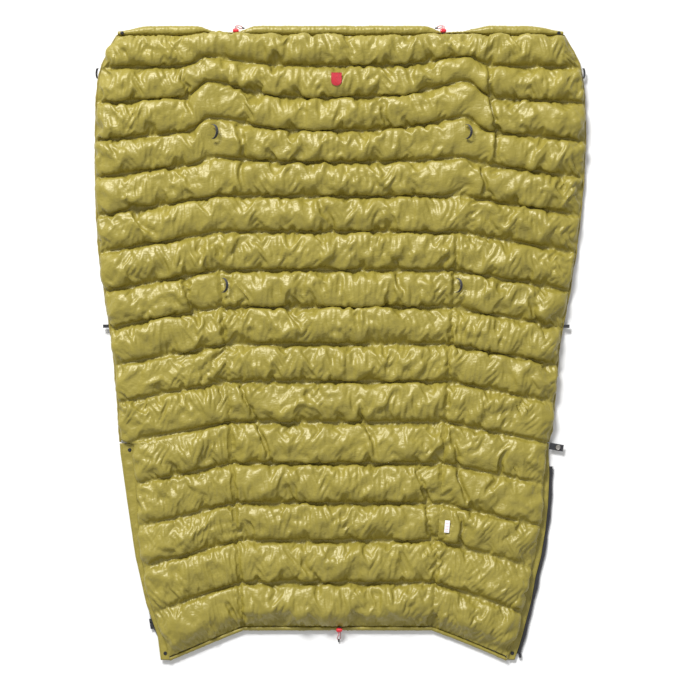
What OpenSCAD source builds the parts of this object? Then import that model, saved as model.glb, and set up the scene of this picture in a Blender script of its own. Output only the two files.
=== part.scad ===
// Camp quilt: a box-baffle down quilt laid open on the ground, lining side up.
// +X is to the right, +Y to the head, +Z up. The origin is on the ground, at the middle of the box.

/* [Outline] */
// Height of the top stitch line of the first row, measured from the middle of the quilt
head_seam = 922; // [900:1:925]
// Length of the drop from the middle of the foot edge to its corners
foot_drop = 91; // [60:1:100]
// Sideways place of the middle line of the quilt
middle_x = -9; // [-12:1:0]

/* [Rows] */
// Heights of the sixteen rows of chambers, from head to foot
row_heights = [90, 94, 99, 96, 103, 106, 115, 111, 111, 112, 122, 123, 120, 112, 126, 132];
// How far the wings' ends of the rows lie below their middle, over the upper half
wing_droop = 62; // [40:1:75]
// Rise of the upper rows over the fold lines
shoulder_rise = 47; // [20:1:55]

/* [Fold lines] */
// Distance from the middle line to each fold line, at mid length
fold_x = 338; // [300:1:360]
// Outward lean of the fold lines, per millimetre of length
fold_lean = 0.064; // [0.04:0.001:0.08]

/* [Loft] */
// Height of the crest of a filled chamber
crest_z = 60; // [50:1:61]
// Height of the lining at a stitch line between two rows
seam_z = 30; // [20:1:36]
// Thickness of a fabric skin
skin_t = 0.8; // [0.5:0.1:1.2]
// Clearance between a skin and the down chamber inside it
fill_gap = 1; // [0.6:0.1:2]
// Wall of the down layer that lines each chamber
down_wall = 4; // [3:0.5:4]
// Height of the side hem above the ground
hem_z = 14; // [12:0.5:18]

/* [Collar and foot hem] */
// Width of the collar tube along the head edge
collar_w = 33; // [28:1:34]
// How far the drawcord gathers the collar tube in beside the cord locks
collar_pinch = 24; // [10:1:24]
// Level of the head edge
head_top = 956; // [950:1:960]
// Width of the cord channel along the foot edge
channel_w = 14; // [12:0.5:16]

/* [Zip] */
// Width of one zip tape
tape_w = 14; // [10:1:16]
// Width of the zip slider
slider_w = 9; // [8:0.5:10]
// Length of the zip slider
slider_l = 14; // [12:1:18]

/* [Cord locks] */
// Length of a lock's barrel
barrel_l = 14.5; // [14:0.5:15]
// Diameter of a lock's barrel
barrel_d = 13; // [12:0.5:14]
// Diameter of the elastic cord
cord_d = 2.2; // [2:0.1:2.4]
// How far a plunger goes in
press = 2.5; // [2:0.25:2.5]

/* [Hidden] */

rows = len(row_heights);
// Outlines of the padded fabric with its flat bands: [y, distance from the middle of the quilt]
left_edge = [[-960, 540], [-880, 550], [-780, 585], [-640, 617], [-480, 641], [-330, 662],
    [-150, 674], [0, 688], [130, 708], [270, 728], [380, 735], [480, 739], [620, 739],
    [740, 736], [800, 729], [840, 719], [880, 700], [930, 672], [960, 650]];
right_edge = [[-960, 522], [-880, 547], [-780, 573], [-700, 588], [-640, 604], [-560, 617],
    [-480, 625], [-390, 629], [-330, 626], [-300, 626], [-262, 638], [-150, 647], [0, 660], [130, 686],
    [270, 710], [380, 723], [480, 732], [620, 739], [740, 736], [800, 729], [840, 721], [880, 702],
    [930, 672], [960, 650]];
// Widths of the flat bands that carry the zip halves: [y, width]
left_band = [[-960, 24], [-910, 24], [-850, 12], [-740, 13], [-590, 18], [-480, 30], [-400, 36],
    [-305, 40], [-288, 3]];
right_band = [[-960, 24], [-850, 20], [-700, 20], [-560, 18], [-400, 16], [-340, 10], [-300, 3]];
olive = "#a89c3e";
olive_dark = "#7d7430";
red = "#d8202c";
black = "#1c1c20";

fold_gap = 0.6;       // clearance from a fold plane to the pieces on each side of it
wall_t = 0.8;         // thickness of a baffle wall
ridge_z = 18;         // how far the upper rows tent up along the fold lines
fold_dip = 9;         // how far the lower rows sink along the fold lines
shoulder_in = 120;    // width over which the shoulder rise fades into the middle panel
wing_fade = 8;        // how many times faster it fades than the width of a wing
edge_round = 85;      // width over which a wing thins down to its hem
edge_lift = 45;       // width over which its underside rises to the hem
lock_places = [[-313, 938], [309, 938], [-3, -861]];   // middle of each lock: left, right, foot
lock_z = [34, 34, 23];
strand = 2;           // the two strands in a lock lie this far to each side of its middle
stations_centre = [-1, -0.72, -0.3, 0.3, 0.72, 1];
stations_wing = [0, 0.2, 0.5, 0.8, 1];

function clamp01(t) = min(1, max(0, t));
function ramp(t) = let (c = clamp01(t)) c * c * (3 - 2 * c);
function bell(t) = exp(-t * t);
function sum_to(list, n) = n <= 0 ? 0 : list[n - 1] + sum_to(list, n - 1);
function mix(a, b, t) = a + (b - a) * t;

// Middle height, droop and shoulder rise of stitch line i, where 0 is the first line at the head
function seam_mid(i) = head_seam - sum_to(row_heights, i);
function droop(i) = wing_droop * ramp(i / 6) + (foot_drop - wing_droop) * ramp((i - 12) / 3.5);
function rise(i) = shoulder_rise * bell((i - 2.2) / 1.6);
function fold_half(y) = fold_x + fold_lean * y;

// Each panel is a grid: a station across it and a line down it. side is -1, 0 or 1.
// t runs from -1 to 1 across the middle panel, and from 0 at the fold to 1 at the hem on a wing.
function seam_y(side, i, t) = side == 0
    ? seam_mid(i) + rise(i) * bell((1 - abs(t)) * fold_x / shoulder_in)
    : seam_mid(i) - droop(i) * t + rise(i) * bell(t * wing_fade);
function grid_y(side, i, v, t) = mix(seam_y(side, i, t), seam_y(side, min(i + 1, rows), t), v);
function band_w(side, y) = side < 0 ? lookup(y, left_band) : lookup(y, right_band);
function edge_half(side, y) = side < 0 ? lookup(y, left_edge) : lookup(y, right_edge);
function padded_half(side, y) = edge_half(side, y) - band_w(side, y);
function grid_x(side, y, t, end_gap = 0) = side == 0
    ? middle_x + t * (fold_half(y) - fold_gap)
    : let (near = middle_x + side * (fold_half(y) + fold_gap), far = side * (padded_half(side, y) - end_gap))
      mix(near, far, t);

// Distances that shape the heights: from the fold line, and from the hem of a wing
function from_fold(side, y, t) = side == 0 ? (1 - abs(t)) * fold_half(y)
    : t * (padded_half(side, y) - fold_half(y));
function from_hem(side, y, t) = side == 0 ? 1000 : (1 - t) * (padded_half(side, y) - fold_half(y));
function near_head(i) = bell((i - 3) / 2.6);
function seam_top(side, i, y, t) = seam_z
    + ridge_z * near_head(i) * bell(from_fold(side, y, t) / 70) - 4 * ramp((i - rows + 1) / 1);
function crest_top(side, i, y, t) = crest_z
    + (3 * near_head(i) - fold_dip * (1 - near_head(i))) * bell(from_fold(side, y, t) / 60);
function full_top(side, i, v, y, t) = mix(seam_top(side, i + v, y, t), crest_top(side, i + v, y, t),
    pow(max(0, sin(180 * v)), 0.7));
function hem_fade(side, y, t, end_gap = 0) =
    let (q = 1 - clamp01((from_hem(side, y, t) + end_gap) / edge_round)) sqrt(max(0, 1 - q * q));
function top_z(side, i, v, y, t, end_gap = 0) =
    mix(hem_z + 2, full_top(side, i, v, y, t), hem_fade(side, y, t, end_gap));
function low_z(side, v, y, t, end_gap = 0) =
    let (q = 1 - clamp01((from_hem(side, y, t) + end_gap) / edge_lift))
    max((v < 0.15 || v > 0.85) ? 5 : 0, (hem_z - 1) * q * q);

// A closed solid between two grids of points of the same size
function flat_list(lists) = [for (list = lists) for (item = list) item];
module slab(upper, lower) {
    m = len(upper);
    n = len(upper[0]);
    base = m * n;
    function at(i, j) = i * n + j;
    faces_top = [for (i = [0:m - 2]) for (j = [0:n - 2])
        each [[at(i, j), at(i, j + 1), at(i + 1, j + 1)], [at(i, j), at(i + 1, j + 1), at(i + 1, j)]]];
    faces_low = [for (f = faces_top) [f[2] + base, f[1] + base, f[0] + base]];
    rim = concat([for (j = [0:n - 1]) at(0, j)], [for (i = [1:m - 1]) at(i, n - 1)],
        [for (j = [n - 2:-1:0]) at(m - 1, j)], [for (i = [m - 2:-1:1]) at(i, 0)]);
    faces_rim = [for (k = [0:len(rim) - 1]) let (a = rim[k], b = rim[(k + 1) % len(rim)])
        each [[b, a, a + base], [b, a + base, b + base]]];
    polyhedron(points = concat(flat_list(upper), flat_list(lower)),
        faces = concat(faces_top, faces_low, faces_rim));
}

// A closed solid swept through rings of points, all with the same number of points
module swept(rings) {
    m = len(rings);
    n = len(rings[0]);
    sides = [for (i = [0:m - 2]) for (j = [0:n - 1]) let (k = (j + 1) % n)
        each [[i * n + j, i * n + k, (i + 1) * n + k], [i * n + j, (i + 1) * n + k, (i + 1) * n + j]]];
    polyhedron(points = flat_list(rings), faces = concat([for (f = cap(0, n)) reverse(f)], sides,
        cap((m - 1) * n, n)));
}
// The closed end of a sweep, as a strip of triangles across its ring
function cap(base, n) = [for (j = [0:floor(n / 2) - 1]) let (a = base + j, z = base + n - 1 - j)
    each concat(a + 1 < z ? [[a, a + 1, z]] : [], a + 1 < z - 1 ? [[a + 1, z - 1, z]] : [])];
function reverse(list) = [for (i = [len(list) - 1:-1:0]) list[i]];

// A hollow tube between two such sweeps, open at both ends
module hollow(outer, inner) {
    m = len(outer);
    n = len(outer[0]);
    base = m * n;
    skin = [for (i = [0:m - 2]) for (j = [0:n - 1]) let (k = (j + 1) % n)
        each [[i * n + j, i * n + k, (i + 1) * n + k], [i * n + j, (i + 1) * n + k, (i + 1) * n + j]]];
    lining = [for (f = skin) [f[2] + base, f[1] + base, f[0] + base]];
    first = [for (j = [0:n - 1]) let (k = (j + 1) % n)
        each [[j, base + k, k], [j, base + j, base + k]]];
    e = (m - 1) * n;
    last = [for (j = [0:n - 1]) let (k = (j + 1) % n)
        each [[e + j, e + k, base + e + k], [e + j, base + e + k, base + e + j]]];
    polyhedron(points = concat(flat_list(outer), flat_list(inner)), faces = concat(skin, lining, first, last));
}

// Rings of a round tube along a route of points
function unit(v) = v / norm(v);
function heading(route, i) = unit(route[min(i + 1, len(route) - 1)] - route[max(i - 1, 0)]);
function tube_rings(route, r, n) = [for (i = [0:len(route) - 1])
    let (d = heading(route, i), a = unit(cross(d, abs(d.z) > 0.9 ? [1, 0, 0] : [0, 0, 1])), b = cross(d, a))
    [for (j = [0:n - 1]) route[i] + r * (cos(360 * j / n) * a - sin(360 * j / n) * b)]];
// ---- Skins, chambers and baffles ----
function stations(side) = side == 0 ? stations_centre : stations_wing;
top_marks = [0, 0.16, 0.5, 0.84];
skin_end = 3;     // a skin stops this far from the hem
fill_end = 12;    // the down and the baffles stop this far from the hem

// Places across a skin: each is [t, distance kept from the hem]
function skin_stations(side) = concat([for (t = stations(side)) [t, fill_end]], side == 0 ? [] : [[1, skin_end]]);

module liner(side) {
    lines = concat([for (i = [0:rows - 1]) for (v = top_marks) [i, v]], [[rows - 1, 1]]);
    function row(line, shift) = [for (s = skin_stations(side)) let (t = s[0], y = grid_y(side, line[0], line[1], t))
        [grid_x(side, y, t, s[1]), y, top_z(side, line[0], line[1], y, t, s[1]) + shift]];
    flip = side < 0 ? -1 : 1;
    slab([for (l = lines) flip > 0 ? row(l, 0) : reverse(row(l, 0))],
        [for (l = lines) flip > 0 ? row(l, -skin_t) : reverse(row(l, -skin_t))]);
}

module shell(side) {
    lines = concat([[0, 0]], [for (i = [0:rows - 1]) each [[i, 0.2], [i, 0.8], [i, 1]]]);
    function row(line, shift) = [for (s = skin_stations(side)) let (t = s[0], y = grid_y(side, line[0], line[1], t))
        [grid_x(side, y, t, s[1]), y, low_z(side, line[1], y, t, s[1]) + shift]];
    flip = side < 0 ? -1 : 1;
    slab([for (l = lines) flip > 0 ? row(l, skin_t) : reverse(row(l, skin_t))],
        [for (l = lines) flip > 0 ? row(l, 0) : reverse(row(l, 0))]);
}

// The down stands as a layer round each chamber, open at its ends
module chamber(side, i) {
    seam_inset = 1.5;
    marks_up = [0, 0.16, 0.5, 0.84, 1];
    marks_down = [1, 0.8, 0.2, 0];
    above_shell = skin_t + 2.5 * fill_gap;
    function inner_y(v, t, wall) = let (y = grid_y(side, i, v, t), inset = seam_inset + wall)
        y - (v == 0 ? inset : 0) + (v == 1 ? inset : 0);
    function ring(t, wall) = concat(
        [for (v = marks_up) let (y = inner_y(v, t, wall))
            [grid_x(side, y, t, fill_end), y, top_z(side, i, v, y, t, fill_end) - skin_t - fill_gap - wall]],
        [for (v = marks_down) let (y = inner_y(v, t, wall))
            [grid_x(side, y, t, fill_end), y, low_z(side, v, y, t, fill_end) + above_shell + wall]]);
    ends = side < 0 ? reverse(stations(side)) : stations(side);
    hollow([for (t = ends) ring(t, 0)], [for (t = ends) ring(t, down_wall)]);
}
module down(side) {
    for (i = [0:rows - 1]) chamber(side, i);
}

module baffle(side, i) {
    line = i < rows ? [i, 0] : [rows - 1, 1];
    half = wall_t / 2;
    shift = i == 0 ? -half - 0.2 : i == rows ? half + 0.2 : 0;
    function ring(t) = let (y = grid_y(side, line[0], line[1], t) + shift, x = grid_x(side, y, t, fill_end),
        up = top_z(side, line[0], line[1], y, t, fill_end) - skin_t - 0.6,
        down = low_z(side, 0, y, t, fill_end) + skin_t + 0.6)
        [[x, y + half, down], [x, y + half, up], [x, y - half, up], [x, y - half, down]];
    ends = stations(side);
    swept([for (t = side < 0 ? reverse(ends) : ends) ring(t)]);
}
module baffles(side) {
    for (i = [0:rows]) baffle(side, i);
}

// ---- Collar tube along the head, cord channel along the foot ----
function gather(x) = let (a = abs(x + 2)) ramp((a - 240) / 80) * (1 - ramp((a - 360) / 100));
function collar_width(x) = (collar_w - collar_pinch * gather(x)) * (1 - 0.55 * ramp((abs(x) - 560) / 130));
function collar_height(x) = 34 - 12 * gather(x) - 8 * ramp((abs(x) - 600) / 90);
function collar_seam_y(side, t) = seam_y(side, 0, t) + 1.2;
function collar_section(side, t, inset, n) =
    let (y0 = collar_seam_y(side, t), x = grid_x(side, y0, t, 4), h = collar_height(x),
        w = min(collar_width(x), head_top - y0))
    [for (j = [0:n - 1]) let (a = 360 * j / n)
        [x, y0 + w / 2 + (w / 2 - inset) * cos(a), 2 + h / 2 + (h / 2 - inset) * sin(a)]];
collar_stations_centre = [for (k = [-8:8]) k / 8];
collar_stations_wing = [0, 0.25, 0.5, 0.75, 0.92, 1];
module collar(side) {
    ends = side == 0 ? collar_stations_centre : side < 0 ? reverse(collar_stations_wing) : collar_stations_wing;
    hollow([for (t = ends) collar_section(side, t, 0, 12)], [for (t = ends) collar_section(side, t, skin_t, 12)]);
}
function drawcord_point(x) = let (t = (x - middle_x) / (fold_half(head_seam) - fold_gap),
    y0 = collar_seam_y(0, t), w = collar_width(x), h = collar_height(x))
    [x, y0 + w * 0.5, 2 + h * 0.5];
module collar_drawcord() {
    first = lock_places[0].x - strand;
    last = lock_places[1].x + strand;
    color(red) swept(tube_rings([for (k = [0:20]) drawcord_point(mix(first, last, k / 20))], cord_d / 2, 8));
}

channel_z = 9;
function foot_y(side, t) = seam_y(side, rows, t) - channel_w / 2 - 0.6;
function channel_route(side) = let (ends = skin_stations(side))
    [for (s = side < 0 ? reverse(ends) : ends)
        [grid_x(side, seam_y(side, rows, s[0]), s[0], s[1]), foot_y(side, s[0]), channel_z]];
// The rings stand square to X, so the ends of neighbouring panels face each other
function upright_rings(route, r, n) = [for (p = route)
    [for (j = [0:n - 1]) p + [0, r * cos(360 * j / n), r * sin(360 * j / n)]]];
module foot_channel(side) {
    route = channel_route(side);
    hollow(upright_rings(route, channel_w / 2, 10), upright_rings(route, channel_w / 2 - skin_t, 10));
}
module foot_drawcord(side) {
    color(red) swept(upright_rings(channel_route(side), cord_d / 2, 8));
}

// ---- Side hems and flat bands ----
module side_strip(side, y_list, outer, inner, z0, z1) {
    rings = [for (y = y_list) let (a = side * (outer(y)), b = side * (inner(y)))
        [[b, y, z0(y)], [a, y, z0(y)], [a, y, z1(y)], [b, y, z1(y)]]];
    swept(side > 0 ? reverse(rings) : rings);
}
function band_low(side, y) = mix(hem_z - 1, side < 0 ? 11.5 : 8, ramp((-y - 290) / 80));
module hem(side) {
    y_list = [-298, -286, -200, -80, 0, 60, 130, 270, 380, 480, 600, 740, 800, 840, 880, 916];
    side_strip(side, y_list, function (y) edge_half(side, y) - 0.2, function (y) padded_half(side, y) - 2.2,
        function (y) hem_z - 1.5, function (y) hem_z + 3);
}
band_y = [-940, -900, -850, -780, -700, -640, -560, -480, -400, -345, -300];
module zip_flap_left() {
    color(olive) side_strip(-1, band_y, function (y) edge_half(-1, y), function (y) padded_half(-1, y) - 1.6,
        function (y) band_low(-1, y), function (y) band_low(-1, y) + 1.4);
}
module zip_band_right() {
    color(olive) side_strip(1, band_y, function (y) edge_half(1, y), function (y) padded_half(1, y) - 1.6,
        function (y) band_low(1, y), function (y) band_low(1, y) + 1.4);
}

// ---- Zip ----
// The left half lies under its flap: a bent foot end, then a straight run that the slider travels
zip_foot = [-571, -836];    // where the slider is parked
zip_head = [-645, -398];    // top of the straight run
left_zip_line = [[-934, -536], [-885, -548], [-848, -569], [-398, -645]];
zip_run = unit(zip_head - zip_foot);
zip_z = 5;
coil_h = 2.6;
coil_w = 3;
module zip_frame() {
    translate([zip_foot.x, zip_foot.y, zip_z])
        rotate([0, 0, atan2(zip_run.y, zip_run.x) - 90]) children();
}
function left_zip_x(y) = -lookup(y, left_zip_line);
module zip_coil_left() {
    color(black) side_strip(-1, [-934, -885, -848, -398], function (y) left_zip_x(y) + coil_w / 2,
        function (y) left_zip_x(y) - coil_w / 2, function (y) zip_z - coil_h / 2, function (y) zip_z + coil_h / 2);
}
module zip_tape_left() {
    color(black) side_strip(-1, [-934, -885, -848, -398], function (y) left_zip_x(y) - coil_w / 2,
        function (y) left_zip_x(y) - coil_w / 2 - tape_w, function (y) zip_z - 0.4, function (y) zip_z + 0.4);
}
module zip_pin() {
    color(black) translate([-left_zip_x(-934) - 2, -946, zip_z - 1.8]) cube([4, 11.9, 3.6]);
}
zip_y = [-934, -900, -860, -820, -780, -740, -700, -640, -600, -560, -520, -480, -440, -400, -368];
module zip_tape_right() {
    color(black) side_strip(1, zip_y, function (y) edge_half(1, y) + tape_w - 4,
        function (y) edge_half(1, y) - 4, function (y) 6.2, function (y) 7);
}
module zip_coil_right() {
    color(black) side_strip(1, zip_y, function (y) edge_half(1, y) + tape_w - 0.9,
        function (y) edge_half(1, y) + tape_w - 3.9, function (y) 5.3, function (y) 7.9);
}
module zip_box() {
    color(black) translate([edge_half(1, -934) + tape_w - 7.4, -946, 4.2]) cube([8, 11.9, 4.8]);
}
module zip_slider() {
    plate_t = 1.1;
    channel_h = coil_h + 0.8;
    color(black) zip_frame() {
        for (s = [-1, 1]) translate([0, 0, s * (channel_h / 2 + plate_t / 2)])
            cube([slider_w, slider_l, plate_t], center = true);
        // the outer flange holds the plates together beside the coil
        translate([-slider_w / 2, -slider_l / 2, -channel_h / 2 - 0.01]) cube([1.4, slider_l, channel_h + 0.02]);
        translate([-2, -3, channel_h / 2 + plate_t - 0.01]) bridge();
    }
}
bridge_h = 2.3;
module bridge() {
    difference() {
        cube([4, 6, bridge_h]);
        translate([-1, 1, -0.5]) cube([6, 4, bridge_h - 0.2]);
    }
}
pull_axis_z = 3.65;
module zip_pull() {
    color(black) zip_frame() translate([0, 0, pull_axis_z]) {
        rotate([0, 90, 0]) cylinder(h = 6.4, r = 0.5, center = true, $fn = 24);
        for (s = [-1, 1]) translate([s * 3.6 - 0.8, -9, -0.5]) cube([1.6, 9.5, 1]);
        translate([-4.4, -24, -0.5]) cube([8.8, 15.1, 1]);
    }
}

// ---- Snaps ----
module snap(d, h) {
    rotate_extrude($fn = 48) polygon([[0, 0], [d / 2, 0], [d / 2, h * 0.45], [d / 2 - 1, h * 0.8],
        [d / 4 + 0.6, h * 0.9], [d / 4, h * 0.55], [0, h * 0.55]]);
}
tab_base = [628.5, -308];
tab_turn = -10;
tab_z = 12.6;
module tab_frame() {
    translate([tab_base.x, tab_base.y, tab_z]) rotate([0, 0, tab_turn]) children();
}
module snap_tab() {
    color(black) tab_frame() difference() {
        translate([0.5, -10, 0]) cube([42, 20, 1.4]);
        translate([26, 0, -1]) cylinder(h = 4, r = 2.5, $fn = 32);
    }
}
module snap_tab_cap() {
    color("silver") tab_frame() translate([26, 0, 0]) {
        translate([0, 0, 1.5]) snap(15, 3);
        translate([0, 0, -0.4]) cylinder(h = 2, r = 2.2, $fn = 32);
        translate([0, 0, -1.2]) cylinder(h = 1.1, r = 5, $fn = 48);
    }
}
module snap_at(x, y, z) {
    translate([x, y, z]) snap(11, 2.8);
}
module snaps_left() {
    color(black) {
        snap_at(-634, -320, band_low(-1, -320) + 2);
        snap_at(-527, -932, band_low(-1, -932) + 1.6);
        snap_at(-655, 931, 31.2);
    }
}
module snaps_right() {
    color(black) {
        snap_at(517, -932, band_low(1, -932) + 1.6);
        snap_at(655, 931, 31.2);
    }
}

// ---- Webbing loops, label and badge ----
loop_l = 44;
loop_h = 21;
loop_w = 9;
loop_t = 1.4;
loop_tilt = 45;
// An arched band, standing on its two ends; lean tips it over to +X
module arch(l, h, w, t, lean) {
    rotate([0, lean, 0]) rotate([0, 90, 0]) rotate([0, 0, 180])
        translate([0, 0, -w / 2]) linear_extrude(w) difference() {
            arch_outline(l, h);
            offset_outline(l, h, t);
        }
}
module arch_outline(l, h) {
    intersection() {
        scale([h / (l / 2), 1]) circle(r = l / 2, $fn = 40);
        translate([0, -l / 2]) square([h, l]);
    }
}
module offset_outline(l, h, t) {
    scale([(h - t) / (l / 2 - t), 1]) circle(r = l / 2 - t, $fn = 40);
}
loop_right_of_fold = 6;
upper_loop_y = 632;
lower_loop_y = 174;
loop_z = [56.6, 66.6];
module webbing_loop(side, y, z) {
    x = middle_x + side * fold_half(y) + loop_right_of_fold;
    color(black) translate([x, y, z]) arch(loop_l, loop_h, loop_w, loop_t, loop_tilt);
}

module side_loop(x, y, side) {
    translate([x, y, hem_z + 0.8]) rotate([0, 0, side < 0 ? 180 : 0]) rotate([90, 0, 0])
        linear_extrude(10, center = true) difference() {
            hull() {
                square([2, 7.4], center = true);
                translate([14, 0]) circle(d = 7.4, $fn = 32);
            }
            hull() {
                translate([1.4, 0]) square([0.2, 4.8], center = true);
                translate([14, 0]) circle(d = 4.8, $fn = 32);
            }
            translate([-3, -5]) square([2.2, 10]);
        }
}
side_loop_y = 52;
flat_loop_y = 812;
flat_loop_l = 32;
flat_loop_h = 6.4;
module flat_loop(x, y, side) {
    translate([x, y, hem_z + 0.8]) rotate([0, 0, side < 0 ? 180 : 0])
        arch(flat_loop_l, flat_loop_h, 8, 1.2, 90);
}
module side_loops(side) {
    color(black) {
        side_loop(side * (edge_half(side, side_loop_y) + 1.5), side_loop_y, side);
        flat_loop(side * (edge_half(side, flat_loop_y - flat_loop_l / 2) + 1), flat_loop_y, side);
    }
}

module care_label() {
    color("white") translate([309.5, -565, 54.5]) rotate([0, 0, -5]) cube([15, 37, 0.6]);
}
module badge() {
    color(red) translate([-12, 789, crest_z + 0.4]) linear_extrude(1.2) union() {
        translate([-15, -6]) square([30, 25]);
        translate([0, -6]) intersection() {
            scale([1, 0.9]) circle(r = 15, $fn = 48);
            translate([-16, -16]) square([32, 16.1]);
        }
    }
}

// ---- Cord exits, locks and cord loops ----
// Each exit is a ring on a short tab; the two strands come out through it
exit_dir = [1, 1, -1];
exit_back = 8;
exit_t = 2;
exit_foot = [25.2, 25.2, 16.2];    // height of the underside of each tab
module cord_exit(k) {
    translate([lock_places[k].x, lock_places[k].y - exit_dir[k] * exit_back, lock_z[k]])
        difference() {
            union() {
                rotate([90, 0, 0]) cylinder(h = exit_t, r = 5, center = true, $fn = 40);
                translate([-4, -exit_t / 2, exit_foot[k] - lock_z[k]]) cube([8, exit_t, 5]);
            }
            rotate([90, 0, 0]) cylinder(h = 4, r = 3.7, center = true, $fn = 40);
        }
}
module cord_exits() {
    color(black) for (k = [0:2]) cord_exit(k);
}

slot_x = strand + cord_d / 2 + 0.4;
slot_z = cord_d / 2 + 0.35;
bore_r = 4.3;
barrel_mouth = 5;                          // the open end, where the plunger comes out
barrel_back = barrel_mouth - barrel_l;
bore_floor = barrel_back + 1.4;
module lock_frame(k) {
    translate([lock_places[k].x, lock_places[k].y, lock_z[k]]) children();
}
module barrel(k) {
    r = barrel_d / 2;
    color(red) lock_frame(k) difference() {
        rotate([0, 90, 0]) rotate_extrude($fn = 64) polygon([[0, barrel_back], [4, barrel_back],
            [r - 0.7, barrel_back + 1.8], [r, barrel_back + 4], [r, barrel_mouth - 2],
            [r - 1, barrel_mouth], [0, barrel_mouth]]);
        translate([bore_floor, 0, 0]) rotate([0, 90, 0]) cylinder(h = barrel_l, r = bore_r, $fn = 48);
        cube([2 * slot_x, barrel_d + 4, 2 * slot_z], center = true);
    }
}
plunger_r = 4.1;
plunger_back = -slot_x - 1.2;
plunger_head = barrel_mouth + 3;
module plunger(k) {
    color(red) lock_frame(k) difference() {
        translate([plunger_back, 0, 0]) rotate([0, 90, 0])
            cylinder(h = plunger_head - plunger_back, r = plunger_r, $fn = 48);
        translate([press / 2, 0, 0]) cube([2 * slot_x + press, barrel_d, 2 * slot_z], center = true);
    }
}
spring_turns = 3;
spring_wire = 0.25;
module lock_spring(k) {
    x0 = bore_floor + spring_wire + 0.2;
    x1 = plunger_back - spring_wire - 0.2;
    color("silver") lock_frame(k) swept(tube_rings([for (s = [0:8 * spring_turns])
        [mix(x0, x1, s / (8 * spring_turns)), 3 * cos(45 * s), 3 * sin(45 * s)]], spring_wire, 5));
}

// Routes of the free cords: from the exit through the lock, round the end clip and back
route_left = [[-315, 929, 34], [-315, 935, 34], [-315, 941, 34], [-315, 949, 34], [-314, 951.8, 32.4],
    [-310.5, 953.4, 28], [-304.5, 954.4, 22], [-298.5, 953.8, 16.5], [-296, 952.3, 14.3], [-295, 949.6, 13.5],
    [-296, 947.2, 14.3], [-298.5, 945.9, 16.5], [-302.5, 947, 20.2], [-307, 949, 26],
    [-310.8, 950, 31.4], [-311, 948.2, 34], [-311, 941, 34], [-311, 935, 34], [-311, 929, 34]];
route_right = [for (p = route_left) [-4 - p.x, p.y, p.z]];
route_foot = [[-5, -852, 23], [-5, -860, 23], [-5, -867, 23], [-5, -873, 23], [-6, -877.5, 20.5],
    [-8, -881, 15.5], [-9.4, -883.8, 10], [-9.8, -887.5, 6], [-8.5, -890.8, 5], [-5.2, -892, 4.7],
    [-2, -890.8, 5], [-0.6, -887.5, 6], [-0.8, -883.8, 10], [-1.2, -881, 15.5], [-1.2, -877.5, 20.5],
    [-1, -873, 23], [-1, -867, 23], [-1, -860, 23], [-1, -852, 23]];
module cord_loop(route) {
    color(red) swept(tube_rings(route, cord_d / 2, 8));
}
// A clip on the bend of each loop
module cord_clip(p, turn, tip) {
    translate(p) rotate([0, 0, turn]) rotate([0, tip, 0]) rotate([0, 90, 0]) {
        cylinder(h = 8.5, r = 2.5, center = true, $fn = 32);
        translate([0, 0, 4.25]) cylinder(h = 1, r = 1.9, $fn = 32);
    }
}
module cord_ends() {
    color(black) {
        cord_clip([-293, 949, 11.8], 0, 41);
        cord_clip([289, 949, 11.8], 180, 41);
        cord_clip([-5.2, -894.4, 4.6], -90, 3);
    }
}

color(olive) liner(0);  // liner_centre
color(olive) liner(-1);  // liner_left
color(olive) liner(1);  // liner_right
color(olive_dark) shell(0);  // shell_centre
color(olive_dark) shell(-1);  // shell_left
color(olive_dark) shell(1);  // shell_right
color("white") down(0);  // down_centre
color("white") down(-1);  // down_left
color("white") down(1);  // down_right
color("beige") baffles(0);  // baffles_centre
color("beige") baffles(-1);  // baffles_left
color("beige") baffles(1);  // baffles_right
color(olive) collar(0);  // collar_centre
color(olive) collar(-1);  // collar_left
color(olive) collar(1);  // collar_right
collar_drawcord();
color(olive) foot_channel(0);  // foot_channel_centre
color(olive) foot_channel(-1);  // foot_channel_left
color(olive) foot_channel(1);  // foot_channel_right
foot_drawcord(0);  // foot_drawcord_centre
foot_drawcord(-1);  // foot_drawcord_left
foot_drawcord(1);  // foot_drawcord_right
color(olive_dark) hem(-1);  // hem_left
color(olive_dark) hem(1);  // hem_right
zip_flap_left();
zip_band_right();
zip_tape_left();
zip_tape_right();
zip_coil_left();
zip_coil_right();
zip_pin();
zip_box();
zip_slider();
zip_pull();
snap_tab();
snap_tab_cap();
snaps_left();
snaps_right();
webbing_loop(-1, upper_loop_y, loop_z[1]);  // loop_left_upper
webbing_loop(-1, lower_loop_y, loop_z[0]);  // loop_left_lower
webbing_loop(1, upper_loop_y, loop_z[1]);  // loop_right_upper
webbing_loop(1, lower_loop_y, loop_z[0]);  // loop_right_lower
side_loops(-1);  // side_loops_left
side_loops(1);  // side_loops_right
care_label();
badge();
cord_exits();
barrel(0);  // lock_left_barrel
plunger(0);  // lock_left_plunger
lock_spring(0);  // lock_left_spring
barrel(1);  // lock_right_barrel
plunger(1);  // lock_right_plunger
lock_spring(1);  // lock_right_spring
barrel(2);  // lock_foot_barrel
plunger(2);  // lock_foot_plunger
lock_spring(2);  // lock_foot_spring
cord_loop(route_left);  // cord_loop_left
cord_loop(route_right);  // cord_loop_right
cord_loop(route_foot);  // cord_loop_foot
cord_ends();
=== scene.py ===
"""Looks for the camp quilt: crinkled nylon skins over the chambers, hems, zip, webbing, locks and cords."""

import math

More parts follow.
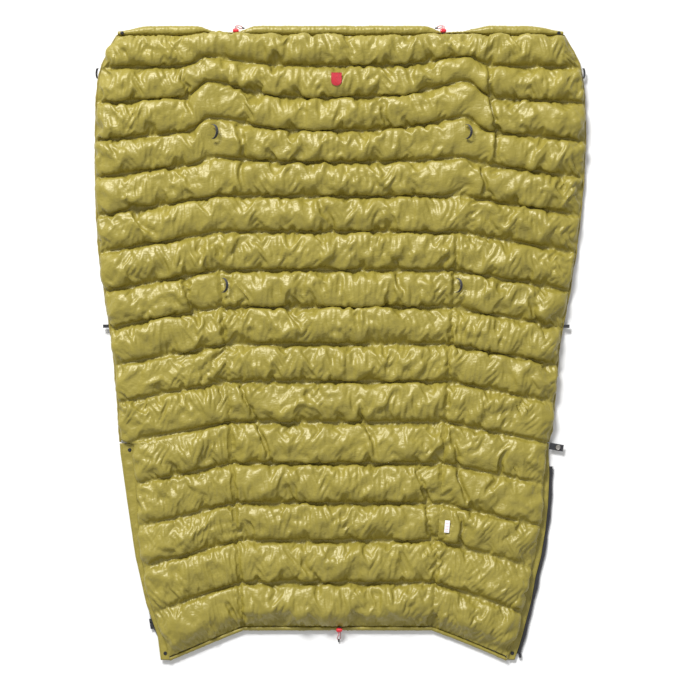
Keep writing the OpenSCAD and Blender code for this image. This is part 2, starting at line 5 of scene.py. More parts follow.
import bpy
import numpy as np
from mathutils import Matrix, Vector


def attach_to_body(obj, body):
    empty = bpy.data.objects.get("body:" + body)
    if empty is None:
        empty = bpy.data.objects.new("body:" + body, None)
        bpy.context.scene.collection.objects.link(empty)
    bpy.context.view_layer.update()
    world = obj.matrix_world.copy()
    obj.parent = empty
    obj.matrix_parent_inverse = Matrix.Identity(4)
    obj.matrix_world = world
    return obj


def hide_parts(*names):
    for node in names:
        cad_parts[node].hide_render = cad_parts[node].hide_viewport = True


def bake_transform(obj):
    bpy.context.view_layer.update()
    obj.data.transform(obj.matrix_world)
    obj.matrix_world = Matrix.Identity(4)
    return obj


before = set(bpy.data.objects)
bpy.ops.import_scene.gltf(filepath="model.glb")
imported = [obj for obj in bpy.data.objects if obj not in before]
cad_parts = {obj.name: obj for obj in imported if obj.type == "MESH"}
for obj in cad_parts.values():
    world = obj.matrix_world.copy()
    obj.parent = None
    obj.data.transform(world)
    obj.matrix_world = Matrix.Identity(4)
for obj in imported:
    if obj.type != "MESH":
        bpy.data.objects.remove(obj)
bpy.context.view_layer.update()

MM = 0.001

# ---- The quilt's layout, as in the CAD, in millimetres ----
HEAD_SEAM, FOOT_DROP, MIDDLE_X = 922.0, 91.0, -9.0
ROWS = [90, 94, 99, 96, 103, 106, 115, 111, 111, 112, 122, 123, 120, 112, 126, 132]
WING_DROOP, SHOULDER_RISE = 62.0, 47.0
FOLD_X, FOLD_LEAN, FOLD_Z = 338.0, 0.064, 66.0
CREST_Z, SEAM_Z, HEM_Z = 60.0, 30.0, 14.0
RIDGE_Z, FOLD_DIP, EDGE_ROUND, EDGE_LIFT = 18.0, 9.0, 85.0, 45.0
SHOULDER_IN, WING_FADE = 120.0, 8.0
COLLAR_W, COLLAR_PINCH, HEAD_TOP = 33.0, 24.0, 956.0
# reach of the raised cloth beside a fold line, and of the flattening towards the hems of the lower rows
TENT_W, FLAT_W = 75, 260
CHANNEL_W, CHANNEL_Z = 14.0, 9.0
N = len(ROWS)
LEFT_EDGE = [[-960, 540], [-880, 550], [-780, 585], [-640, 617], [-480, 641], [-330, 662], [-150, 674],
             [0, 688], [130, 708], [270, 728], [380, 735], [480, 739], [620, 739], [740, 736], [800, 729],
             [840, 719], [880, 700], [930, 672], [960, 650]]
RIGHT_EDGE = [[-960, 522], [-880, 547], [-780, 573], [-700, 588], [-640, 604], [-560, 617], [-480, 625],
              [-390, 629], [-330, 626], [-300, 626], [-262, 638], [-150, 647], [0, 660], [130, 686],
              [270, 710], [380, 723], [480, 732], [620, 739], [740, 736], [800, 729], [840, 721],
              [880, 702], [930, 672], [960, 650]]
LEFT_BAND = [[-960, 24], [-910, 24], [-850, 12], [-740, 13], [-590, 18], [-480, 30], [-400, 36], [-305, 40],
             [-288, 3]]
RIGHT_BAND = [[-960, 24], [-850, 20], [-700, 20], [-560, 18], [-400, 16], [-340, 10], [-300, 3]]
SIDE_NAME = {-1: "left", 0: "centre", 1: "right"}
SIDE_BODY = {-1: "left_wing", 0: "centre", 1: "right_wing"}


def lookup(y, table):
    t = np.array(table, float)
    return np.interp(y, t[:, 0], t[:, 1])


def ramp(t):
    c = np.clip(t, 0, 1)
    return c * c * (3 - 2 * c)


def bell(t):
    return np.exp(-np.square(t))


def mix(a, b, t):
    return a + (b - a) * t


SEAMS = HEAD_SEAM - np.concatenate([[0], np.cumsum(ROWS)])


def droop(i):
    return WING_DROOP * ramp(i / 6) + (FOOT_DROP - WING_DROOP) * ramp((i - 12) / 3.5)


def rise(i):
    return SHOULDER_RISE * bell((i - 2.2) / 1.6)


def fold_half(y):
    return FOLD_X + FOLD_LEAN * y


def seam_y(side, i, t):
    middle = np.interp(i, np.arange(N + 1), SEAMS)
    if side == 0:
        return middle + rise(i) * bell((1 - np.abs(t)) * FOLD_X / SHOULDER_IN)
    return middle - droop(i) * t + rise(i) * bell(t * WING_FADE)


def grid_y(side, line, t):
    i = np.minimum(np.floor(line), N - 1)
    return mix(seam_y(side, i, t), seam_y(side, i + 1, t), line - i)


def edge_half(side, y):
    return lookup(y, LEFT_EDGE if side < 0 else RIGHT_EDGE)


def band_w(side, y):
    return lookup(y, LEFT_BAND if side < 0 else RIGHT_BAND)


def padded_half(side, y):
    return edge_half(side, y) - band_w(side, y)


def grid_x(side, y, t, gap=0.0):
    if side == 0:
        return MIDDLE_X + t * fold_half(y)
    return mix(MIDDLE_X + side * fold_half(y), side * (padded_half(side, y) - gap), t)


def from_fold(side, y, t):
    if side == 0:
        return (1 - np.abs(t)) * fold_half(y)
    return t * (padded_half(side, y) - fold_half(y))


def from_hem(side, y, t):
    if side == 0:
        return np.full(np.shape(y), 1000.0)
    return (1 - t) * (padded_half(side, y) - fold_half(y))


def near_head(i):
    return bell((i - 3) / 2.6)


def top_z(side, line, y, t):
    near = near_head(line)
    fold = from_fold(side, y, t)
    tent = np.exp(-np.power(np.abs(fold) / TENT_W, 1.25))
    # the lower rows are flatter towards the hems
    flat = ramp((line - 7) / 4) * ramp(fold / FLAT_W) * abs(side)
    seam = SEAM_Z - 5 + (RIDGE_Z + 3) * near * tent + 9 * flat
    # the collar and the foot channel meet their rows without a step
    seam = seam + 5 * ramp(1 - line) - 12 * ramp(line - N + 1)
    crest = CREST_Z - 2 + (6 * near - FOLD_DIP * (1 - near)) * tent - 5 * flat
    v = line - np.minimum(np.floor(line), N - 1)
    # the chambers are steep beside their seams, and the last one slopes gently to the foot
    power = 0.5 + 0.8 * ramp(2 * (line - N) + 1)
    full = mix(seam, crest, np.power(np.clip(np.sin(np.pi * v), 0, 1), power))
    q = 1 - np.clip(from_hem(side, y, t) / EDGE_ROUND, 0, 1)
    return mix(HEM_Z + 2, full, np.sqrt(np.clip(1 - q * q, 0, 1)))


def low_z(side, line, y, t):
    v = line - np.minimum(np.floor(line), N - 1)
    q = 1 - np.clip(from_hem(side, y, t) / EDGE_LIFT, 0, 1)
    seam = 6 * np.power(1 - np.clip(np.sin(np.pi * v), 0, 1), 3)
    return np.maximum(seam + 0.3, (HEM_Z - 1) * q * q)


# ---- Procedural noise on points, used for the crumple of the cloth ----
def waves(x, y, length, count, seed):
    """Sum of plane waves of about one wavelength, between about -1 and 1."""
    r = np.random.default_rng(seed)
    out = np.zeros(np.broadcast(x, y).shape)
    for _ in range(count):
        a = r.uniform(0, 2 * np.pi)
        k = 2 * np.pi / (length * r.uniform(0.7, 1.4))
        out += np.sin(k * (np.cos(a) * x + np.sin(a) * y) + r.uniform(0, 2 * np.pi))
    return out / math.sqrt(count)


LATTICE = np.random.default_rng(5).uniform(-1, 1, (97, 89))


def facets(x, y, size, seed, turn=0.0, stretch=1.0):
    """Flat triangles with straight creases, between -1 and 1, longer along the turned direction."""
    bend = 0.3 * size
    along = (math.cos(turn) * x + math.sin(turn) * y) / stretch + bend * waves(x, y, size * 4, 6, seed)
    across = math.cos(turn) * y - math.sin(turn) * x + bend * waves(x, y, size * 4, 6, seed + 1)
    g = (along - across / math.sqrt(3)) / size + 13.7 * seed
    h = 2 * across / math.sqrt(3) / size + 7.3 * seed
    i, j = np.floor(g).astype(int), np.floor(h).astype(int)
    fu, fv = g - i, h - j

    def height(di, dj):
        return LATTICE[(i + di) % LATTICE.shape[0], (j + dj) % LATTICE.shape[1]]

    near, far, right, left = height(0, 0), height(1, 1), height(1, 0), height(0, 1)
    lower = near + fu * (right - near) + fv * (left - near)
    upper = far + (1 - fu) * (left - far) + (1 - fv) * (right - far)
    return np.where(fu + fv < 1, lower, upper)


# ---- Meshes ----
def mesh_from(name, verts, faces, mat, smooth=True):
    me = bpy.data.meshes.new(name)
    points = [tuple(map(float, v)) for v in np.asarray(verts) * MM]
    me.from_pydata(points, [], [tuple(map(int, f)) for f in faces])
    me.update()
    if smooth:
        me.polygons.foreach_set("use_smooth", [True] * len(me.polygons))
    ob = bpy.data.objects.new(name, me)
    bpy.context.scene.collection.objects.link(ob)
    me.materials.append(mat)
    return ob


def grid_faces(m, n, flip=False, wrap=False, base=0):
    i, j = np.meshgrid(np.arange(m - 1), np.arange(n if wrap else n - 1), indexing="ij")
    k = (j + 1) % n
    f = np.stack([i * n + j, i * n + k, (i + 1) * n + k, (i + 1) * n + j], -1).reshape(-1, 4) + base
    return f[:, ::-1] if flip else f


def grid_mesh(name, pts, mat, flip=False, wrap=False):
    m, n = pts.shape[:2]
    return mesh_from(name, pts.reshape(-1, 3), grid_faces(m, n, flip, wrap), mat)


def joined(name, parts, mat, smooth=True):
    """One mesh from several (points, faces) pairs."""
    verts, faces, base = [], [], 0
    for v, f in parts:
        verts.append(np.asarray(v, float))
        faces += [tuple(int(k) + base for k in face) for face in f]
        base += len(v)
    return mesh_from(name, np.concatenate(verts), faces, mat, smooth)


def rod_faces(m, n):
    """Faces of a closed skin over m rings of n points, with a cap at each end."""
    caps = [tuple(range(n))[::-1], tuple((m - 1) * n + k for k in range(n))]
    return list(grid_faces(m, n, wrap=True)) + caps


def arc_length(p):
    """Distance along a line of points, from its first point."""
    return np.concatenate([[0], np.cumsum(np.linalg.norm(np.diff(p, axis=0), axis=1))])


def tube(path, radius, sides=8, caps=True):
    """Points and faces of a round tube along a path."""
    p = np.asarray(path, float)
    r = np.broadcast_to(np.asarray(radius, float), (len(p),))
    d = np.gradient(p, axis=0)
    d /= np.linalg.norm(d, axis=1, keepdims=True)
    up = np.array([0.0, 0.0, 1.0]) if abs(d[0][2]) < 0.9 else np.array([1.0, 0.0, 0.0])
    a = np.cross(d[0], up)
    rings = []
    for k in range(len(p)):
        a = a - d[k] * np.dot(a, d[k])
        a /= np.linalg.norm(a)
        b = np.cross(d[k], a)
        ang = 2 * np.pi * np.arange(sides) / sides
        rings.append(p[k] + r[k] * (np.cos(ang)[:, None] * a + np.sin(ang)[:, None] * b))
    return np.concatenate(rings), rod_faces(len(p), sides) if caps else grid_faces(len(p), sides, wrap=True)


# ---- Materials ----
def material(name, colour, rough=0.5, metal=0.0, bump=(), tint=0.12, tint_scale=40, sheen=0.0, coat=0.0,
             gloss=(1, 1, 1), level=0.5):
    """A shader whose colour and gloss vary, with layers of bump.

    Each layer is (kind, scale, strength, distance), and three more numbers where its space is stretched."""
    m = bpy.data.materials.new(name)
    m.use_nodes = True
    nt = m.node_tree
    new, link = nt.nodes.new, nt.links.new
    b = nt.nodes["Principled BSDF"]
    b.inputs["Metallic"].default_value = metal
    b.inputs["Sheen Weight"].default_value = sheen
    b.inputs["Coat Weight"].default_value = coat
    b.inputs["Specular Tint"].default_value = (*gloss, 1)
    b.inputs["Specular IOR Level"].default_value = level
    coord = new("ShaderNodeTexCoord")
    noise = new("ShaderNodeTexNoise")
    noise.inputs["Scale"].default_value = tint_scale
    noise.inputs["Detail"].default_value = 4
    link(coord.outputs["Object"], noise.inputs["Vector"])
    col = new("ShaderNodeValToRGB")
    lo = [c * (1 - tint) for c in colour]
    hi = [min(1, c * (1 + tint)) for c in colour]
    col.color_ramp.elements[0].position, col.color_ramp.elements[1].position = 0.3, 0.7
    col.color_ramp.elements[0].color = (*lo, 1)
    col.color_ramp.elements[1].color = (*hi, 1)
    link(noise.outputs["Fac"], col.inputs["Fac"])
    link(col.outputs["Color"], b.inputs["Base Color"])
    rr = new("ShaderNodeMapRange")
    rr.inputs["To Min"].default_value = max(0.02, rough - 0.06)
    rr.inputs["To Max"].default_value = min(1, rough + 0.08)
    link(noise.outputs["Fac"], rr.inputs["Value"])
    link(rr.outputs["Result"], b.inputs["Roughness"])
    last = None
    for kind, scale, strength, distance, *stretch in bump:
        mp = new("ShaderNodeMapping")
        mp.inputs["Scale"].default_value = stretch or (1, 1, 1)
        link(coord.outputs["Object"], mp.inputs["Vector"])
        if kind == "wave":
            t = new("ShaderNodeTexWave")
            out = "Fac"
        elif kind == "cells":
            t = new("ShaderNodeTexVoronoi")
            t.feature = "DISTANCE_TO_EDGE"
            out = "Distance"
        else:
            t = new("ShaderNodeTexNoise")
            t.inputs["Detail"].default_value = 5
            t.inputs["Distortion"].default_value = 0.6
            out = "Fac"
        t.inputs["Scale"].default_value = scale
        link(mp.outputs["Vector"], t.inputs["Vector"])
        source = t.outputs[out]
        if kind == "ridges":
            # folds: the crease lines where the noise crosses its middle
            sub = new("ShaderNodeMath")
            sub.operation = "SUBTRACT"
            sub.inputs[1].default_value = 0.5
            ab = new("ShaderNodeMath")
            ab.operation = "ABSOLUTE"
            link(source, sub.inputs[0])
            link(sub.outputs[0], ab.inputs[0])
            source = ab.outputs[0]
        bp = new("ShaderNodeBump")
        bp.inputs["Strength"].default_value = strength
        bp.inputs["Distance"].default_value = distance
        link(source, bp.inputs["Height"])
        if last is not None:
            link(last.outputs["Normal"], bp.inputs["Normal"])
        last = bp
    if last is not None:
        link(last.outputs["Normal"], b.inputs["Normal"])
    return m


# crinkled nylon: two sizes of crease cells, broad ridges and the fine weave
CRINKLE = (("cells", 45, 0.5, 0.003, 1, 0.5, 1), ("cells", 100, 0.6, 0.0015, 0.6, 1, 1),
           ("ridges", 30, 0.3, 0.005), ("cells", 900, 0.15, 0.0003))
# the nylon's highlights are pale yellow
NYLON_GLOSS = (1.0, 0.95, 0.75)
WEAVE = (("wave", 500, 0.5, 0.0004, 1, 0.4, 1), ("noise", 300, 0.3, 0.0005))
MAT = {
    "liner_fabric": material("liner_fabric", (0.268, 0.222, 0.036), 0.41, bump=CRINKLE, tint=0.06,
                             tint_scale=9, gloss=NYLON_GLOSS, level=0.65),
    "shell_fabric": material("shell_fabric", (0.25, 0.205, 0.034), 0.38, bump=CRINKLE, tint=0.06,
                             tint_scale=9, gloss=NYLON_GLOSS, level=0.65),
    "hem_binding": material("hem_binding", (0.25, 0.2, 0.034), 0.42, bump=CRINKLE, tint=0.1),
    "thread": material("thread", (0.06, 0.05, 0.012), 0.7, tint=0.2, tint_scale=400),
    "black_webbing": material("black_webbing", (0.018, 0.018, 0.022), 0.62, bump=WEAVE, tint=0.35,
                              tint_scale=260, sheen=0.3),
    "zip_tape": material("zip_tape", (0.015, 0.015, 0.019), 0.66, bump=WEAVE, tint=0.3, tint_scale=260,
                         sheen=0.3),
    "zip_plastic": material("zip_plastic", (0.02, 0.02, 0.024), 0.33,
                            bump=(("noise", 260, 0.2, 0.0004),), tint=0.25, tint_scale=90),
    "black_plastic": material("black_plastic", (0.018, 0.018, 0.022), 0.38,
                              bump=(("noise", 400, 0.25, 0.0004),), tint=0.25, tint_scale=120),
    "red_plastic": material("red_plastic", (0.66, 0.022, 0.035), 0.3,
                            bump=(("noise", 400, 0.15, 0.0003),), tint=0.1, tint_scale=120,
                            coat=0.2),
    "red_cord": material("red_cord", (0.62, 0.035, 0.06), 0.6,
                         bump=(("wave", 330, 0.9, 0.0006),
                               ("wave", 300, 0.7, 0.0005, -1, 1, 1)),
                         tint=0.3, tint_scale=600, sheen=0.3),
    "snap_metal": material("snap_metal", (0.55, 0.52, 0.48), 0.22, 1.0,
                           bump=(("noise", 300, 0.1, 0.0003),), tint=0.12, tint_scale=150),
    "snap_black": material("snap_black", (0.03, 0.03, 0.034), 0.3, 0.4,
                           bump=(("noise", 300, 0.12, 0.0003),), tint=0.25, tint_scale=150),
    "spring_steel": material("spring_steel", (0.6, 0.6, 0.6), 0.25, 1.0,
                             bump=(("noise", 300, 0.1, 0.0003),), tint=0.1),
    "label_white": material("label_white", (0.84, 0.82, 0.82), 0.55,
                            bump=(("wave", 700, 0.3, 0.0003),), tint=0.04, tint_scale=200),
    "label_pink": material("label_pink", (0.75, 0.32, 0.36), 0.6, tint=0.1, tint_scale=200),
    "badge_red": material("badge_red", (0.5, 0.014, 0.028), 0.6,
                          bump=(("wave", 420, 0.7, 0.0005),), tint=0.15, tint_scale=300,
                          sheen=0.2),
}


def dress(ob, slot):
    """Gives a carried-over CAD node its material."""
    ob.data.materials.clear()
    ob.data.materials.append(MAT[slot])


# ---- The cloth solver: a grid of points held at the stitch lines and pushed out by the down ----
def relax(p, rests, pinned, target, steps):
    """Moves the free points of grid p until its threads are close to their cut lengths.

    rests holds the cut lengths along the rows, across them, and on the two diagonals."""
    p = p.astype(np.float32)
    target = target.astype(np.float32)
    prev = p.copy()
    free = (~pinned).astype(np.float32)
    m, n = p.shape[:2]
    rest_u, rest_v, rest_a, rest_b = (r.astype(np.float32) for r in rests)
    whole = slice(None)
    pairs = []
    for start in (0, 1):
        pairs += [
            ((whole, slice(start, n - 1, 2)), (whole, slice(start + 1, n, 2)), rest_u[:, start::2], 0.95),
            ((slice(start, m - 1, 2), whole), (slice(start + 1, m, 2), whole), rest_v[start::2], 0.95),
            ((slice(start, m - 1, 2), slice(0, n - 1)), (slice(start + 1, m, 2), slice(1, n)),
             rest_a[start::2], 0.45),
            ((slice(start, m - 1, 2), slice(1, n)), (slice(start + 1, m, 2), slice(0, n - 1)),
             rest_b[start::2], 0.45)]
    links = []

    def link(a, b, rest, stiff, strut):
        """Both ends of a thread move by their share; a pinned end does not move."""
        total = np.maximum(free[a] + free[b], 1e-6)
        links.append((a, b, rest, (free[a] / total * stiff)[..., None],
                      (free[b] / total * stiff)[..., None], strut))

    for a, b, rest, stiff in pairs:
        link(a, b, rest, stiff, False)
    # struts between points a few cells apart keep the creases from getting sharper than the cloth can bend
    for span, keep, stiff in STRUTS:
        for r in range(2 * span):
            for a, b, run in (
                    ((whole, slice(r, n - span, 2 * span)), (whole, slice(r + span, n, 2 * span)),
                     sum(rest_u[:, r + k:n - span + k:2 * span] for k in range(span))),
                    ((slice(r, m - span, 2 * span), whole), (slice(r + span, m, 2 * span), whole),
                     sum(rest_v[r + k:m - span + k:2 * span] for k in range(span)))):
                link(a, b, run * keep, stiff, True)
    for step in range(steps):
        du, dv = np.zeros_like(p), np.zeros_like(p)
        du[:, 1:-1] = p[:, 2:] - p[:, :-2]
        dv[1:-1] = p[2:] - p[:-2]
        normal = np.cross(dv, du)
        normal /= np.linalg.norm(normal, axis=-1, keepdims=True) + 1e-6
        # down pushes back harder the further a point is pressed in, and lets go above the loft
        lack = (target - p[..., 2]) / 6.0
        push = np.clip(lack, -1.0, 1.0) * 0.2
        move = DAMPING * (p - prev) + normal * push[..., None]
        prev = p.copy()
        p = p + move * free[..., None]
        for a, b, rest, fa, fb, strut in links:
            d = p[b] - p[a]
            length = np.sqrt((d * d).sum(-1)) + 1e-6
            over = (length - rest) / length
            d *= (np.minimum(over, 0) if strut else over)[..., None]
            p[a] += d * fa
            p[b] -= d * fb
        # a light smoothing stands for the bending stiffness of the coated nylon
        if step % 4 == 0:
            near = (p[2:, 1:-1] + p[:-2, 1:-1] + p[1:-1, 2:] + p[1:-1, :-2]) / 4 - p[1:-1, 1:-1]
            p[1:-1, 1:-1] += near * (BEND * free[1:-1, 1:-1])[..., None]
    return p.astype(float)


DAMPING, BEND, STEPS = 0.88, 0.02, 420
# the struts: their span in cells, the share of the cut length they hold and their stiffness
STRUTS = ((2, 0.985, 0.5), (3, 0.95, 0.3))
CELL, PER_ROW = 4.0, 28
EXTRA_U, EXTRA_V = 0.09, 0.04
# Long folds pressed into the lining: (start, end, depth, width), each point (x, y) in millimetres
FOLDS = [((-472, 790), (-450, 700), 11, 8), ((-296, 640), (-290, 470), 9, 8),
         ((449, 820), (470, 560), 13, 9), ((430, 540), (430, 450), 11, 8),
         ((-292, -125), (-205, -365), 10, 9), ((334, -290), (388, -500), 10, 9),
         ((238, -380), (278, -605), 8, 8), ((358, -515), (368, -620), 9, 8), ((-60, 430), (-20, 330), 6, 9),
         ((120, 720), (150, 640), 7, 9), ((-160, 120), (-120, 30), 6, 8), ((60, -200), (110, -330), 7, 9),
         ((-640, 420), (-560, 330), 8, 10), ((560, 120), (610, 40), 8, 9),
         ((-110, -640), (-60, -740), 7, 9), ((150, 260), (190, 160), 6, 8), ((-470, 200), (-430, 60), 8, 9),
         ((500, -330), (450, -440), 8, 9)]


def fold_depth(x, y):
    """How deep the long folds press the lining at each point."""
    out = np.zeros(np.shape(x))
    for (ax, ay), (bx, by), depth, width in FOLDS:
        ux, uy = bx - ax, by - ay
        length = math.hypot(ux, uy)
        along = ((x - ax) * ux + (y - ay) * uy) / length / length
        across = ((x - ax) * uy - (y - ay) * ux) / length + 5 * np.sin(along * 7 + ax)
        ends = ramp((along + 0.15) / 0.3) * ramp((1.15 - along) / 0.3)
        # a fold is a groove with a raised lip beside it
        out += depth * ends * (bell(across / width) - 0.45 * bell((across - 1.9 * width) / width))
    return out


# Webbing loops on the fold lines: (level, y, z), their lean, their distance from the fold line and their size
LOOPS = (("upper", 632.0, 66.6), ("lower", 174.0, 56.6))
LOOP_TILT, LOOP_SIDE = math.radians(45), 6.0
LOOP_L, LOOP_H, LOOP_T, LOOP_W = 44, 21, 1.4, 9
# How deep they press the lining down, how far beside the loop and how widely
PRESS, PRESS_SIDE, PRESS_REACH = 8.5, 16, 20
# Wing panels are this wide in cells; rows from this one down are stitched along the fold lines
WING_W, STITCHED_FROM = 385, 6


def outward(p):
    """Unit normals of a grid of points, upwards."""
    normal = np.cross(np.gradient(p, axis=1), -np.gradient(p, axis=0))
    return normal / (np.linalg.norm(normal, axis=-1, keepdims=True) + 1e-6)


def lining():
    """Relaxes the whole lining and returns its points, the columns of its stitch lines and its rows."""
    cells_c = int(round(2 * FOLD_X / CELL / 2)) * 2
    cells_w = int(round(WING_W / CELL))
    per_row = PER_ROW
    lines = np.arange(N * per_row + 1) / per_row
    cols = [(-1, t) for t in np.linspace(1, 0, cells_w + 1)[:-1]]
    cols += [(0, t) for t in np.linspace(-1, 1, cells_c + 1)]
    cols += [(1, t) for t in np.linspace(0, 1, cells_w + 1)[1:]]
    left_col, right_col = cells_w, cells_w + cells_c
    p = np.zeros((len(lines), len(cols), 3))
    for c, (side, t) in enumerate(cols):
        y = grid_y(side, lines, t)
        p[:, c, 0] = grid_x(side, y, t, 1.2)
        p[:, c, 1] = y
        p[:, c, 2] = top_z(side, lines, y, t)
    # spread the rows' cells evenly along the arc of each chamber
    for i in range(N):
        part = p[i * per_row:(i + 1) * per_row + 1]
        step = np.linalg.norm(np.diff(part, axis=0), axis=-1)
        arc = np.concatenate([np.zeros((1, step.shape[1])), np.cumsum(step, axis=0)])
        for c in range(part.shape[1]):
            want = np.linspace(0, arc[-1, c], per_row + 1)
            for k in range(3):
                part[:, c, k] = np.interp(want, arc[:, c], part[:, c, k].copy())
    x0, y0 = p[..., 0].copy(), p[..., 1].copy()
    pinned = np.zeros(p.shape[:2], bool)
    pinned[::per_row] = True
    pinned[:, [0, -1]] = True
    low_rows = lines > STITCHED_FROM - 0.1
    pinned[np.ix_(low_rows, [left_col, right_col])] = True
    # puckers along the stitches: the seam line itself wanders up, down and sideways
    along = waves(x0, y0, 17, 10, 3)
    broad = waves(x0, y0, 46, 10, 4)
    row_pin = np.zeros(p.shape[:2])
    row_pin[::per_row] = 1
    inner = np.ones(p.shape[1])
    inner[[0, -1]] = 0
    p[..., 2] += row_pin * inner * (0.9 * along + 1.2 * broad)
    p[..., 1] += row_pin * inner * (0.7 * broad + 0.35 * waves(x0, y0, 24, 8, 5))
    for col in (left_col, right_col):
        p[:, col, 0] += low_rows * 1.6 * waves(x0[:, col], y0[:, col], 26, 8, 6)
        p[:, col, 2] -= 4.0 * low_rows
    # the hem is scalloped: each chamber's end swells outward between stitch lines
    v = lines % 1
    swell = np.where(lines < N, np.sin(np.pi * v), 0)
    for c, side in ((0, -1), (-1, 1)):
        p[:, c, 0] += side * 1.5 * swell
    grooves = fold_depth(x0, y0)
    crumple = 3.2 * facets(x0, y0, 32, 14, 0.8, 2.2) + 2.2 * facets(x0, y0, 22, 15, -0.7, 2.0)
    target = p[..., 2] + 2.0 - 1.5 * grooves + 2.2 * waves(x0, y0, 70, 12, 8) + 1.6 * crumple
    rest_u = np.linalg.norm(np.diff(p, axis=1), axis=-1)
    rest_v = np.linalg.norm(np.diff(p, axis=0), axis=-1)
    # the cloth is cut larger than the space between its seams; over the upper fold lines it is taut
    taut = np.zeros(p.shape[:2])
    for c, (side, t) in enumerate(cols):
        taut[:, c] = near_head(lines) * bell(from_fold(side, y0[:, c], t) / TENT_W)
    extra_u = 1 + np.clip(EXTRA_U + 0.05 * waves(x0, y0, 150, 10, 9), 0, 0.2) * (1 - 0.75 * taut)
    extra_v = 1 + (EXTRA_V + 0.02 * waves(x0, y0, 120, 10, 10)) * (1 - 0.75 * taut)
    long_u, long_v = rest_u * extra_u[:, 1:], rest_v * extra_v[1:]
    d1 = np.linalg.norm(p[1:, 1:] - p[:-1, :-1], axis=-1)
    d2 = np.linalg.norm(p[1:, :-1] - p[:-1, 1:], axis=-1)
    scale = np.hypot(long_u[1:], long_v[:, 1:]) / np.hypot(rest_u[1:], rest_v[:, 1:])
    free = ~pinned
    loose = free * (1 - 0.8 * taut)
    p[..., 2] += loose * (1.5 * crumple - grooves)
    p[..., 0] += loose * 0.6 * waves(x0, y0, 30, 10, 13)
    p = relax(p, (long_u, long_v, d1 * scale, d2 * scale), pinned, target, STEPS)
    # sharp creases of the crinkled nylon, which fade out at the stitch lines
    from_seam = np.minimum(v, 1 - v)[:, None] * per_row
    crisp = ramp((from_seam + 0.5) / 5) * (1 - 0.75 * taut) * inner
    lean = ramp(0.5 + 0.6 * waves(x0, y0, 260, 8, 26))
    fine = 2.0 * facets(x0, y0, 11, 23, 1.3, 1.6) + 1.1 * facets(x0, y0, 7.5, 29, 0.5, 2.0)
    for size, height in ((25, 6.4), (14, 4.2)):
        rising = facets(x0, y0, size, size, 0.85, 3.2)
        falling = facets(x0, y0, size, size + 2, -0.85, 3.2)
        fine += height * mix(rising, falling, lean)
    fine *= 0.35 + 0.65 * ramp(0.6 + 0.6 * waves(x0, y0, 180, 8, 27))
    gathers = bell(from_seam / 4) * ramp(from_seam) * inner * (1 - 0.6 * taut)
    p += outward(p) * (crisp * fine + 0.6 * gathers * waves(x0, y0 / 3, 13, 12, 24))[..., None]
    # the webbing loops press the lining down where they lean over it
    for side in (-1, 1):
        for _, y, _ in LOOPS:
            loop_x = MIDDLE_X + side * fold_half(y) + LOOP_SIDE
            p[..., 2] -= PRESS * bell(np.hypot(x0 - loop_x - PRESS_SIDE, (y0 - y) / 2) / PRESS_REACH)
    p[..., 2] = np.clip(p[..., 2], 9, 76)
    return p, left_col, right_col, per_row


def underside():
    """The shell that lies on the ground, with shallow wrinkles and its stitch lines drawn in."""
    cells_c, cells_w, per_row = 60, 34, 9
    lines = np.arange(N * per_row + 1) / per_row
    out = {}
    for side, count in ((-1, cells_w), (0, cells_c), (1, cells_w)):
        ts = np.linspace(-1, 1, count + 1) if side == 0 else np.linspace(0, 1, count + 1)
        p = np.zeros((len(lines), len(ts), 3))
        for c, t in enumerate(ts):
            y = grid_y(side, lines, t)
            p[:, c] = np.stack([grid_x(side, y, t, 2.5), y, low_z(side, lines, y, t)], -1)
        x, y = p[..., 0], p[..., 1]
        crumple = 1.1 * np.abs(waves(x, y, 40, 12, 21)) + 0.7 * np.abs(waves(x, y, 22, 12, 22))
        p[..., 2] += crumple * (p[..., 2] < 12)
        out[side] = p
    return out


def attach(ob, body, slot, *nodes):
    """The piece rides rigidly on a body, and the CAD nodes it replaces are hidden; the slot argument is not
    used.
    """
    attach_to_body(ob, body)
    if nodes:
        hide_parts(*nodes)


def carry(ob, side, slot, *nodes, bend=True):
    """The piece rides on the body of its part of the quilt; a wing's piece, unless bend is off, only has its
    transform baked in and rides on no body.
    """
    if side == 0 or not bend:
        attach(ob, SIDE_BODY[side], slot, *nodes)
        return
    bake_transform(ob)
    if nodes:
        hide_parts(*nodes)


def stitches(pts, length=3.0, gap=1.6, thick=0.55, lift=0.2):
    """Thread stitches along a line of points, as one set of points and faces."""
    p = np.asarray(pts, float)
    arc = arc_length(p)
    s = np.arange(gap, arc[-1] - length, length + gap)

    def at(q):
        return np.stack([np.interp(q, arc, p[:, k]) for k in range(3)], -1)

    a, b, c = at(s), at(s + length / 2), at(s + length)
    verts, faces = [], []
    up = np.array([0, 0, 1.0])
    for k in range(len(s)):
        d = c[k] - a[k]
        d /= np.linalg.norm(d) + 1e-9
        w = np.cross(up, d)
        base = len(verts)
        # the ends of a stitch dive into the cloth
        for point, half, h in ((a[k], 0.12, -0.25), (b[k], thick / 2, lift), (c[k], 0.12, -0.25)):
            verts += [point - w * half + up * h, point + w * half + up * h, point + up * (h + thick * 0.6)]
        for r in (0, 3):
            faces += [(base + r, base + r + 3, base + r + 5, base + r + 2),
                      (base + r + 2, base + r + 5, base + r + 4, base + r + 1),
                      (base + r + 1, base + r + 4, base + r + 3, base + r)]
    return verts, faces


